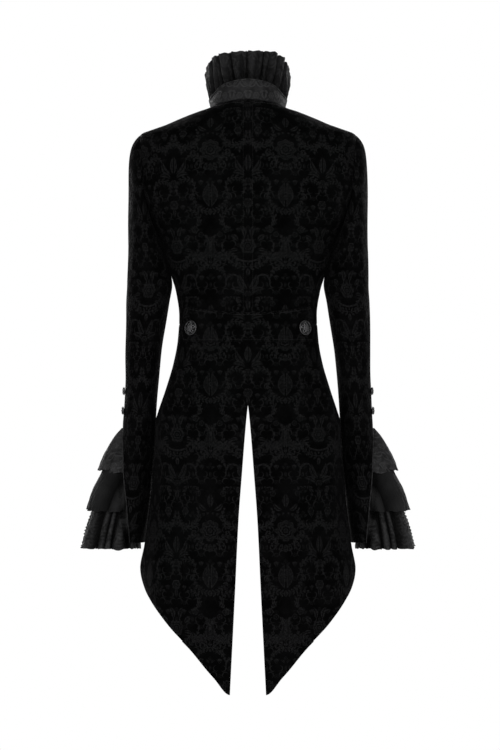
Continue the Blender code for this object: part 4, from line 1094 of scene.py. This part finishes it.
for part, start, end, startLine, endLine, width in (
    ("upper", sleeve["foreTop"], sleeve["hindTop"], foreEdge(1), hindEdge(-1), 0.20),
    ("under", sleeve["hindTop"], sleeve["foreTop"] + 360, hindEdge(1), foreEdge(-1, 360), 0.13),
):
    turns = start + (end - start) * spaced(width, velvet["step"])
    grid = sleeveGrid(turns, startLine, endLine)
    inside = np.zeros_like(grid)
    inside[..., 0] = sleeve["axis"]
    inside[..., 2] = grid[..., 2]
    normals = gridNormals(grid, inside)
    down = runAlong(grid)
    turn = turnsOf(grid)
    wound = np.where(turn < -165, turn + 360, turn) if part == "under" else turn
    arc, around = arcOf(wound), arcOf(wound - 90.0)
    seamColumn = -3 if part == "upper" else 2
    for sideName, side in (("left", 1), ("right", -1)):
        rise = creaseRise(arc, grid[..., 2], scaledCreases(sleeveCreases[sideName], arcOf))
        rise = rise + 0.0004 * np.sin(arc * 70 + side) * np.sin(grid[..., 2] * 53 + arc * 31)
        fromSeam = down - velvet["tuck"]
        seam = dip * np.exp(-((fromSeam / seamDipWidth) ** 2)) + np.where(fromSeam < 0, sleeve["sunk"], 0.0)
        shaped = grid + normals * (rise * ease(fromSeam / 0.03) - seam)[..., None]
        name, dips, v = f"sleeve_{part}_{sideName}", (dip * 0.6, dip * 0.6, 0, 0), grid[..., 2]
        piece = shell(name + "_cloth", shaped, normals, velvet["thick"], around, v, dips, side=side)
        finish(piece, sleeveVelvet, "velvet", name)
        declareCloth(piece, shaped)
        edge = shaped[:, seamColumn]
        edge = edge[edge[:, 2] < sleeve["slitTop"]] * np.array([side, 1, 1])
        out = normals[-1, seamColumn] * np.array([side, 1, 1])
        slitEdges.append((f"slitPiping_{part}_{sideName}", edge + out * 0.0002))
print("sleeves made")


# tier, top, hem, how far it is set in, its cloth, depth of its flutes, and the turns of their valleys
frills = (
    ("upper", -0.570, -0.6485, 0.0000, frillTaffeta, "frill_taffeta", 0.0100, (-64, -50, -22, 20, 55, 64)),
    ("middle", -0.617, -0.7170, 0.0030, chiffon, "frill_chiffon", 0.0165, (-91, -72, -46, -16, 52, 75, 91)),
    (
        "lower", -0.682, -0.7850, 0.0060, frillTaffeta, "frill_taffeta", 0.0210,
        (-180, -152, -124, -99, -76, -52, -24, 4, 44, 56, 69, 96, 124, 152, 180),
    ),
)
# clear: how far inside the velvet; crinkle: the small folds across the flutes
# tone: the painted fold shade, its value in the valleys and on the crests, and how fast it grows
frillLook = {
    "thick": 0.0009, "drop": 0.0040, "valley": 0.0040, "rise": 0.0075, "columns": 640, "sway": 0.0062,
    "curl": 0.0013, "clear": 0.0025,
    "paintedFoldShade": {"upper": (0.62, 1.00, 1.0), "middle": (0.06, 1.04, 2.1), "lower": (0.0, 0.84, 4.6)},
    "crinkle": {"upper": 0.0, "middle": 0.0, "lower": 0.0014},
    "crest": {"upper": 0.7, "middle": 0.7, "lower": 0.95},
}


def slitOpening(height):
    return max(float(slit(height)) - 6.0, 1.0)


def frillBase(turns, rows):
    # the smooth form of a frill: inside the sleeve all round, and out through the slit
    turn = np.radians(turns)
    grid = []
    for height in rows:
        opening = slitOpening(height)
        half, depth = sleeveHalf(height), sleeveDepth(height)
        middle = sleeveInner(height) + half
        off = velvet["thick"] + frillLook["clear"]
        inside = ((np.cos(turn) / (half - off)) ** 2 + (np.sin(turn) / (depth - off)) ** 2) ** -0.5
        out = np.clip(1 - (turns / opening) ** 2, 0, 1) ** 0.75
        radius = inside + max(float(reach(height)) - middle - (half - off), 0.0) * out
        points = [middle + radius * np.cos(turn), sleeveMiddle(height) + radius * np.sin(turn)]
        grid.append(np.stack([*points, np.full(len(turn), height)], -1))
    return np.array(grid)


for tier, top, bottom, inset, material, slotName, waveDepth, valleys in frills:
    rows = top + (bottom - top) * spaced(top - bottom, 0.0030, (0.0, 0.0003, 0.0008, 0.0016))
    halfTurn = valleys[-1]
    whole = halfTurn == 180
    columns = int(frillLook["columns"] * halfTurn / 180)
    turns = np.linspace(-halfTurn, halfTurn, columns + 1)
    turns = turns[:-1] if whole else turns
    base = frillBase(turns, rows)
    middles = frillBase(np.arange(-180, 180, 5), rows).mean(axis=1, keepdims=True)
    inside = np.broadcast_to(middles, base.shape)
    flat = gridNormals(base, inside, wraps=whole)
    share = ((rows - top) / (bottom - top))[:, None]
    opening = np.array([slitOpening(height) for height in rows])[:, None]
    free = np.clip(1 - (turns / opening) ** 2, 0, 1) ** 0.4
    for sideName, side in (("left", 1), ("right", -1)):
        marks = np.array(valleys, float)
        marks[1:-1] += 1.2 * side * np.sin(marks[1:-1] * 0.7)  # the two cuffs differ a little
        flute = np.clip(np.searchsorted(marks, turns, side="right") - 1, 0, len(marks) - 2)
        t = (turns - marks[flute]) / (marks[flute + 1] - marks[flute])
        crest = np.clip(np.sin(np.pi * t), 0, 1) ** frillLook["crest"][tier]
        size = np.interp(turns, (marks[1:] + marks[:-1]) / 2, np.clip(np.diff(marks) / 34, 0.42, 1.0))
        facing = np.radians(turns)
        inner = 0.14 * (1 - free) * ease((share - 0.1) / 0.9)
        push = waveDepth * share**1.1 * crest * size * (free + inner) - frillLook["valley"] * share * free
        away = np.stack([np.cos(facing), np.sin(facing), np.zeros(len(turns))], -1)
        sway = np.stack([-np.sin(facing), np.cos(facing), np.zeros(len(turns))], -1)
        grid = base - flat * inset + away * push[..., None]
        wide = -frillLook["sway"] * np.sin(2 * np.pi * t) * size + 0.0020 * np.sin(facing * 3 + side)
        grid = grid + sway * (wide * share**1.2 * (free + inner))[..., None]
        nearHem = np.exp(-(((1 - share) / 0.06) ** 2))
        curl = nearHem * frillLook["curl"] * np.sin(facing * 47 + 2 * side) * np.sin(facing * 13 + side)
        wrinkle = 0.0005 * share * np.sin(facing * 61 + share * 7) * np.sin(share * 17 + facing * 9)
        small = np.sin(share * 104 + 2.0 * np.sin(facing * 11 + side) + facing * 5)
        small = small * np.sin(facing * 15 + share * 9)
        wrinkle = wrinkle + frillLook["crinkle"][tier] * small * crest * ease(share * 2)
        grid = grid + away * ((curl + wrinkle) * (free + 0.3))[..., None]
        lift = frillLook["rise"] * share**1.6 * np.exp(-((turns / 30) ** 2)) * free
        sag = frillLook["drop"] * share**5 * crest * size * (free + 0.25)
        sag = sag - 0.0007 * share * np.sin(facing * 29 + side)
        grid[..., 2] += lift - sag
        normals = gridNormals(grid, inside, wraps=whole)
        u = np.broadcast_to(runAlong(grid[-1]), grid.shape[:2])
        v = np.broadcast_to(rows[:, None], u.shape)
        name = f"frill_{tier}_{sideName}"
        # painted shade: darker in the flutes' valleys and towards the frill's top inside the cuff
        low, high, power = frillLook["paintedFoldShade"][tier]
        paintedFoldShade = low + (high - low) * crest**power * (0.75 + 0.25 * share)
        # the lower tier also gets painted shade along its small crinkles
        if tier == "lower":
            paintedFoldShade = paintedFoldShade * (1.15 - 0.90 * np.clip(small, 0, 1) * ease(share * 2))
        piece = shell(
            name + "_cloth", grid, normals, frillLook["thick"], u, v,
            wraps=whole, side=side, turnOver=0.0007, crest=paintedFoldShade,
        )
        finish(piece, material, slotName, name)
        declareCloth(piece, grid)
print("wrist frills made")


# end: where band and frill stop, in degrees from the centre back
collar = {
    "end": 177.0, "gap": 0.0006, "cloth": 0.0016, "belly": 0.0011, "piping": 0.0013, "pleatDepth": 0.0125,
    "frillCloth": 0.0009, "fan": 0.0075, "lean": 0.0042,
}
ruffValleys = (-177, -153, -130, -108, -89, -69.5, -47.6, -20.8, 1.6, 23.7, 46.3, 68, 88, 109, 132, 154, 177)
upright = np.array([0, 0, 1.0])


def outwards(angle):
    return np.stack([np.sin(np.radians(angle)), np.cos(np.radians(angle)), np.zeros_like(angle)], -1)


def collarFoot(angle):
    return bodyPoint(angle, 0.0) + upright * collar["gap"]


def bandTop(angle):
    height, lean = bandHeight(np.abs(angle))[..., None], bandLean(np.abs(angle))[..., None]
    return collarFoot(angle) + upright * height - outwards(angle) * lean


angles = -collar["end"] + 2 * collar["end"] * spaced(0.40, 0.0030)
shares = spaced(0.033, 0.0026)[::-1][:, None, None]
foot, top = collarFoot(angles), bandTop(angles)
belly = (np.sin(np.pi * shares) * collar["belly"]) * outwards(angles)
bandGrid = foot * (1 - shares) + top * shares + belly
tucks = (-0.0012, -0.0024, -0.0036, -0.0042, -0.0045)  # the band's foot goes down inside the neck seam
tucked = np.array([foot + upright * drop - outwards(angles) * (0.0022 + drop * 0.1) for drop in tucks])
bandGrid = np.concatenate([bandGrid, tucked])
bandNormals = gridNormals(bandGrid, np.zeros_like(bandGrid) + np.array([0, 0.008, 0.02]))
around = runAlong(foot)
u = np.broadcast_to(around - around[-1] / 2, bandGrid.shape[:2])
bandPiece = shell("neck_band_cloth", bandGrid, bandNormals, collar["cloth"], u, bandGrid[..., 2] + 0.006)
finish(bandPiece, bandJacquard, "band_jacquard", "neck_band")
declareCloth(bandPiece, bandGrid)

# the frill on the band: broad uneven pleats that fan out, most with a smaller fold in their foot
chance = np.random.default_rng(11)
valleys = np.array(ruffValleys, float)
pleats = len(valleys) - 1
centres = (valleys[1:] + valleys[:-1]) / 2
angles = np.linspace(-collar["end"], collar["end"], 1300)
inPleat = np.clip(np.searchsorted(valleys, angles) - 1, 0, pleats - 1)
t = (angles - valleys[inPleat]) / (valleys[inPleat + 1] - valleys[inPleat])
deep, tilt, tall, sag = (
    np.interp(angles, centres, chance.uniform(low, high, pleats))
    for low, high in ((0.80, 1.2), (-0.0040, 0.0040), (-0.0024, 0.0018), (-0.0020, 0.0020))
)
tilt = tilt + collar["fan"] * np.sin(np.radians(2 * angles)) * (np.abs(angles) < 90)
footAt, footDeep, footHigh = (
    chance.uniform(low, high, pleats)[inPleat] for low, high in ((0.38, 0.62), (0.75, 1.0), (0.55, 1.0))
)
shares = spaced(0.052, 0.0022, (0.0, 0.0003, 0.0008, 0.0016))[::-1][:, None]
opened = np.clip(1 - shares / footHigh, 0, 1)
footFold = footDeep * opened**0.4 * np.exp(-(((t - footAt) / (0.03 + 0.15 * opened)) ** 2))
crest = np.clip(np.sin(np.pi * t), 0, 1) ** (2.0 - 1.5 * shares**0.5) * (1 - footFold)
foot = bandTop(angles) + upright * seamGap * 0.5
height, flare = ruffHeight(np.abs(angles)), ruffFlare(np.abs(angles))
rise = height * shares + shares**2 * (tall + 0.0016 * crest + 0.0007 * np.sin(6 * np.pi * t))
pull = collar["pleatDepth"] * deep * np.clip(shares * 7, 0, 1) ** 0.8 * (1 - 0.25 * shares**2)
facing = np.radians(angles)
crumple = 0.00045 * np.sin(facing * 97 + shares * 9) * np.sin(shares * 31 + facing * 23)
pucker = 0.0011 * np.sin(3 * np.pi * t + inPleat * 1.7) * shares
uneven = pucker + sag * np.sin(np.pi * shares) + crumple * np.clip(shares * 5, 0, 1)
spring = flare * shares**1.4 + pull * (crest - 0.50) + uneven
along = np.stack([np.cos(facing), -np.sin(facing), np.zeros_like(angles)], -1)
lean = -collar["lean"] * np.sin(2 * np.pi * t) * np.clip(shares * 3, 0, 1) * (0.7 + 0.3 * shares)
lean = lean + tilt * (shares - 0.35 * shares**2)
ruffGrid = foot + upright * rise[..., None] + outwards(angles) * spring[..., None] + along * lean[..., None]
ruffNormals = gridNormals(ruffGrid, np.zeros_like(ruffGrid) + np.array([0, 0.008, 0.06]))
u = np.broadcast_to(runAlong(ruffGrid[0]), ruffGrid.shape[:2])
v = np.broadcast_to(shares * 0.05, ruffGrid.shape[:2])
# painted shade: darker in the pleats' valleys and towards the frill's foot on the band
paintedFoldShade = crest**1.1 * (0.55 + 0.45 * shares**0.5)
ruffPiece = shell(
    "neck_frill_cloth", ruffGrid, ruffNormals, collar["frillCloth"], u, v, turnOver=0.0007, crest=paintedFoldShade,
)
finish(ruffPiece, ruffTaffeta, "frill_taffeta", "neck_frill")
declareCloth(ruffPiece, ruffGrid)


def tubeAlong(name, points, radius, sides, material, slotName):
    # a thin piping that follows a line
    count = len(points)
    along = unit(np.gradient(points, axis=0))
    across = unit(np.cross(along, upright))
    over = np.cross(along, across)
    turn = np.linspace(0, 2 * np.pi, sides, endpoint=False)
    ring = np.cos(turn)[None, :, None] * across[:, None] + np.sin(turn)[None, :, None] * over[:, None]
    verts = (points[:, None] + ring * radius).reshape(-1, 3)
    ids = np.arange(count * sides).reshape(count, sides)
    turned = np.roll(ids, -1, 1)
    faces = np.stack([ids[:-1], ids[1:], turned[1:], turned[:-1]], -1).reshape(-1, 4).tolist()
    faces += [ids[0].tolist(), ids[-1][::-1].tolist()]
    uv = np.stack([np.repeat(runAlong(points), sides), np.tile(turn * radius, count)], -1)
    piece = makePiece(name, verts, faces, uv)
    return finish(piece, material, slotName)


angles = np.linspace(-collar["end"], collar["end"], 240)
edge = bandTop(angles) + outwards(angles) * 0.0002 - upright * 0.0006
tubeAlong("bandPiping", edge, collar["piping"], 8, bandJacquard, "band_jacquard")
print("collar made")
for name, edge in slitEdges:
    tubeAlong(name, edge, sleeve["piping"], 6, bandJacquard, "velvet")
print("slit pipings made")


# where the lines run: beside the centre back, below the neck band, inside the belt's edges and short of its ends
stitch = {
    "length": 0.0024, "pitch": 0.0034, "thick": 0.00042, "besideBack": 0.0085, "belowBand": -0.0055,
    "inset": 0.0042, "fromEnd": 3.2,
}


def stitchLine(points, normals):
    # centres, ways along and ways out of the stitches on a line
    run = runAlong(points)
    at = np.arange(stitch["pitch"] / 2, run[-1], stitch["pitch"])
    centre = np.stack([np.interp(at, run, points[:, i]) for i in range(3)], -1)
    out = unit(np.stack([np.interp(at, run, normals[:, i]) for i in range(3)], -1))
    ahead = np.stack([np.interp(at + 0.0005, run, points[:, i]) for i in range(3)], -1)
    return centre, unit(ahead - centre), out


def stitchPiece(name, lines):
    # one stitch, modelled once, laid along every line
    bpy.ops.object.select_all(action="DESELECT")
    bpy.ops.mesh.primitive_ico_sphere_add(subdivisions=1, radius=0.5, location=(0, 0, 0))
    model = bpy.context.object
    shape = np.array([v.co for v in model.data.vertices])
    triangles = np.array([p.vertices for p in model.data.polygons])
    bpy.data.objects.remove(model, do_unlink=True)
    size = np.array([stitch["length"], stitch["thick"], stitch["thick"]])
    verts, faces = [], []
    for points, normals in lines:
        for centre, ahead, out in zip(*stitchLine(points, normals)):
            axes = np.stack([ahead, np.cross(out, ahead), out])
            faces.append(triangles + len(verts) * len(shape))
            verts.append(centre + out * 0.00006 + (shape * size) @ axes)
    piece = makePiece(name, np.concatenate(verts), np.concatenate(faces).tolist())
    return finish(piece, thread, "velvet")


def bodyLine(angles, levels, side):
    # points on the velvet and the ways out of it
    normals = bodyNormal(angles, levels)
    points = bodyPoint(angles, levels) + normals * bodyCreaseRise(angles, levels, side)[..., None]
    return points * np.array([side, 1, 1]), normals * np.array([side, 1, 1])


lines = []
down = np.linspace(-0.004, -0.366, 200)
for side in (1, -1):
    lines.append(bodyLine(angleAcross(np.full(200, stitch["besideBack"]), down), down, side))
    spread = np.linspace(3.0, 172.0, 260)
    belowBand = np.full(260, stitch["belowBand"]) * (0.6 + 0.4 * np.cos(np.radians(spread)) ** 2)
    lines.append(bodyLine(spread, belowBand, side))
stitchPiece("bodyStitching", lines)

lines = []
across = np.linspace(-belt["end"] + stitch["fromEnd"], belt["end"] - stitch["fromEnd"], 300)
topLine = np.interp(across, beltAngles, beltTop) - stitch["inset"]
bottomLine = np.interp(across, beltAngles, beltBottom) + stitch["inset"]
for line in (topLine, bottomLine):
    normals = bodyNormal(across, line)
    lines.append((bodyPoint(across, line) + normals * (belt["cloth"] + belt["lift"]), normals))
stitchPiece("beltStitching", lines)
print("stitching made")


# loops: how many in each of the two rings; the sizes are for a button of radius 1
buttonShape = {"beads": 20, "beadSize": 0.062, "beadsAt": 0.80, "loops": 6, "wire": 0.060, "rim": 0.075}


def addRing(major, minor, at, segments=20, sides=6):
    bpy.ops.mesh.primitive_torus_add(
        major_radius=major, minor_radius=minor, major_segments=segments, minor_segments=sides, location=at
    )
    return bpy.context.object


def domeHeight(across):
    # the dome's own height at a distance from its middle, for a button of radius 1
    return 0.30 + 0.22 * math.sqrt(max(1 - (across / 1.06) ** 2, 0.0))


def modelButton():
    # radius 1: a domed plate on a body and a shank, then a rim, beads, two rings of loops and a boss
    bpy.ops.object.select_all(action="DESELECT")
    bpy.ops.mesh.primitive_uv_sphere_add(segments=40, ring_count=20, radius=1.0, location=(0, 0, 0))
    plate = bpy.context.object
    bpy.ops.object.mode_set(mode="EDIT")
    bpy.ops.mesh.select_all(action="SELECT")
    bpy.ops.mesh.bisect(plane_co=(0, 0, 0), plane_no=(0, 0, 1), clear_inner=True, use_fill=True)
    bpy.ops.mesh.select_all(action="SELECT")
    bpy.ops.transform.resize(value=(0.93, 0.93, 0.22), center_override=(0, 0, 0))
    bpy.ops.transform.translate(value=(0, 0, 0.26))
    bpy.ops.object.mode_set(mode="OBJECT")
    parts = [plate]
    bpy.ops.mesh.primitive_cylinder_add(vertices=40, radius=0.88, depth=0.18, location=(0, 0, 0.20))
    body = bpy.context.object
    bpy.ops.object.mode_set(mode="EDIT")
    bpy.ops.mesh.select_all(action="SELECT")
    bpy.ops.mesh.bevel(offset=0.05, segments=2, affect="EDGES")
    bpy.ops.object.mode_set(mode="OBJECT")
    parts.append(body)
    bpy.ops.mesh.primitive_cylinder_add(vertices=16, radius=0.26, depth=0.14, location=(0, 0, 0.07))
    parts.append(bpy.context.object)
    parts.append(addRing(0.92, buttonShape["rim"], (0, 0, 0.27), 48, 8))
    parts.append(addRing(0.20, 0.05, (0, 0, domeHeight(0.2) + 0.005), 20, 6))
    for i in range(buttonShape["beads"]):
        turn, across = 2 * math.pi * i / buttonShape["beads"], buttonShape["beadsAt"]
        at = (across * math.cos(turn), across * math.sin(turn), domeHeight(across) + 0.01)
        bpy.ops.mesh.primitive_ico_sphere_add(subdivisions=1, radius=buttonShape["beadSize"], location=at)
        parts.append(bpy.context.object)
    for i in range(buttonShape["loops"]):
        turn = 2 * math.pi * i / buttonShape["loops"]
        for reachOut, size, flat in ((0.57, 0.180, 1.25), (0.27, 0.085, 1.3)):
            shift = turn + (0.0 if reachOut > 0.5 else math.pi / buttonShape["loops"])
            at = (reachOut * math.cos(shift), reachOut * math.sin(shift), domeHeight(reachOut) + 0.012)
            loop = addRing(size, buttonShape["wire"], (0, 0, 0), 16, 6)
            bpy.ops.object.mode_set(mode="EDIT")
            bpy.ops.mesh.select_all(action="SELECT")
            bpy.ops.transform.resize(value=(flat, 1.0, 0.6), center_override=(0, 0, 0))
            bpy.ops.object.mode_set(mode="OBJECT")
            loop.rotation_euler = (0, 0.28 * reachOut * 2, shift)
            loop.location = at
            parts.append(loop)
    top = (0, 0, domeHeight(0) + 0.02)
    bpy.ops.mesh.primitive_uv_sphere_add(segments=12, ring_count=8, radius=0.10, location=top)
    parts.append(bpy.context.object)
    bpy.ops.object.select_all(action="DESELECT")
    for number, part in enumerate(parts):
        part.data.materials.append(darkMetal if number < 3 else filigree)
        part.select_set(True)
    bpy.context.view_layer.objects.active = plate
    bpy.ops.object.join()
    bpy.ops.object.transform_apply(location=True, rotation=True, scale=True)
    bpy.ops.object.shade_smooth_by_angle(angle=math.radians(50))
    plate.name = "buttonModel"
    return plate


buttonModel = modelButton()


def placeButton(name, centre, wayOut, radius, spin=0.0):
    piece = buttonModel.copy()
    piece.data = buttonModel.data.copy()
    piece.name = name + "_filigree"
    bpy.context.scene.collection.objects.link(piece)
    turned = Vector(wayOut).to_track_quat("Z", "Y").to_matrix().to_4x4()
    c, s = math.cos(spin), math.sin(spin)
    for vertex in piece.data.vertices:
        x, y, z = vertex.co
        vertex.co = turned @ (Vector((x * c - y * s, x * s + y * c, z)) * radius) + Vector(centre)
    return finish(piece, None, "button_metal", name)


# stand: how far a button's underside is from the form below the cloth
beltButton = {"level": -0.392, "across": 0.0980, "radius": 0.0132, "stand": 0.0024 + 0.0007 + 0.0004}
angle = float(angleAcross(beltButton["across"], beltButton["level"]))
normal = bodyNormal(angle, beltButton["level"])
centre = bodyPoint(angle, beltButton["level"]) + normal * beltButton["stand"]
for sideName, side in (("left", 1), ("right", -1)):
    flip = np.array([side, 1, 1])
    placeButton(f"belt_button_{sideName}", centre * flip, normal * flip, beltButton["radius"], 0.2 * side)

cuffButton = {"heights": (-0.504, -0.539), "turn": 14.0, "radius": 0.0076, "stand": 0.0004}
for number, height in enumerate(cuffButton["heights"], 1):
    centre, before, after = (
        sleeveSection(np.array(cuffButton["turn"] + step), height) for step in (0.0, -1.0, 1.0)
    )
    normal = unit(np.cross(after - before, upright))
    for sideName, side in (("left", 1), ("right", -1)):
        flip = np.array([side, 1, 1])
        place, name = (centre + normal * cuffButton["stand"]) * flip, f"cuff_button_{number}_{sideName}"
        placeButton(name, place, normal * flip, cuffButton["radius"], 0.5 * number)

frontButton = {
    "levels": (-0.130, -0.185, -0.240, -0.295, -0.350), "radius": 0.0076, "stand": 0.0020 + 0.0007 + 0.0004,
}
for number, level in enumerate(frontButton["levels"], 1):
    normal = bodyNormal(180.0, level)
    centre = bodyPoint(180.0, level) + normal * frontButton["stand"]
    placeButton(f"front_button_{number}", centre, normal, frontButton["radius"], 0.3 * number)
bpy.data.objects.remove(buttonModel, do_unlink=True)
print("buttons made")


# viewHeight: the metres that the picture shows, measured at sharpAt from the origin towards the camera
studio = {
    "floor": -1.62, "distance": 14.0, "aimX": -0.0036, "aimZ": -0.4753, "viewHeight": 1.335, "sharpAt": 0.05,
    "worldStrength": 1.0, "keyPower": 72.0, "frontPower": 1900.0, "floorRadius": 6.0,
}
bpy.ops.object.select_all(action="DESELECT")
bpy.ops.mesh.primitive_circle_add(
    vertices=64, radius=studio["floorRadius"], fill_type="NGON", location=(0, 0, studio["floor"])
)
floor = bpy.context.object
floor.name = "floor"
floorMaterial, floorTree, floorShader = principled("paleFloor")
cloudy = noise(floorTree, objectPosition(floorTree), 2.0)
floorColor = mixColor(floorTree, cloudy, (0.93, 0.93, 0.93), (0.96, 0.96, 0.96))
floorTree.links.new(floorColor, floorShader.inputs["Base Color"])
setShader(floorShader, rough=0.8)
floor.data.materials.append(floorMaterial)

world = bpy.data.worlds.new("studioWhite")
world.use_nodes = True
background = world.node_tree.nodes["Background"]
background.inputs["Color"].default_value = (1.0, 1.0, 1.0, 1.0)
# the sky's strength changes by a hair from foot to top, so that the renderer samples it as a light
skyTree = world.node_tree
upward = split(skyTree, addNode(skyTree, "ShaderNodeTexCoord").outputs["Generated"])[2]
brightness = remap(skyTree, upward, -1.0, 1.0, 0.999, 1.001, "LINEAR")
strength = calc(skyTree, "MULTIPLY", brightness, studio["worldStrength"])
skyTree.links.new(strength, background.inputs["Strength"])
bpy.context.scene.world = world


def addSoftbox(name, place, aim, size, power):
    light = bpy.data.lights.new(name, "AREA")
    light.shape, light.size, light.size_y, light.energy = "RECTANGLE", size[0], size[1], power
    lamp = bpy.data.objects.new(name, light)
    lamp.location = place
    lamp.rotation_euler = (Vector(aim) - Vector(place)).to_track_quat("-Z", "Y").to_euler()
    lamp.visible_camera = False
    bpy.context.scene.collection.objects.link(lamp)


# place, and share of the key's power
softboxes = ((2.3, 3.6, 1.5, 1.0), (-2.3, 3.6, 1.1, 0.9), (2.3, -3.6, 1.1, 2.0), (-2.3, -3.6, 1.5, 2.2))
for number, (x, y, z, share) in enumerate(softboxes):
    addSoftbox(f"softbox_{number}", (x, y, z), (0, 0, -0.5), (1.6, 2.2), studio["keyPower"] * share)
addSoftbox("softbox_behind_camera", (0.8, 16.5, 0.6), (0, 0, -0.5), (5.0, 6.0), studio["frontPower"])

cameraData = bpy.data.cameras.new("camera")
cameraData.sensor_fit = "VERTICAL"
cameraData.sensor_height = 36.0
cameraData.lens = 36.0 * (studio["distance"] - studio["sharpAt"]) / studio["viewHeight"]
cameraData.clip_end = 200.0
camera = bpy.data.objects.new("camera", cameraData)
camera.location = (studio["aimX"], studio["distance"], studio["aimZ"])
camera.rotation_euler = (math.radians(90), 0, math.radians(180))
bpy.context.scene.collection.objects.link(camera)
bpy.context.scene.camera = camera
bpy.context.scene.view_settings.view_transform = "Standard"
print("studio made")

for row in sheetSizes:
    print("sheet", *row)
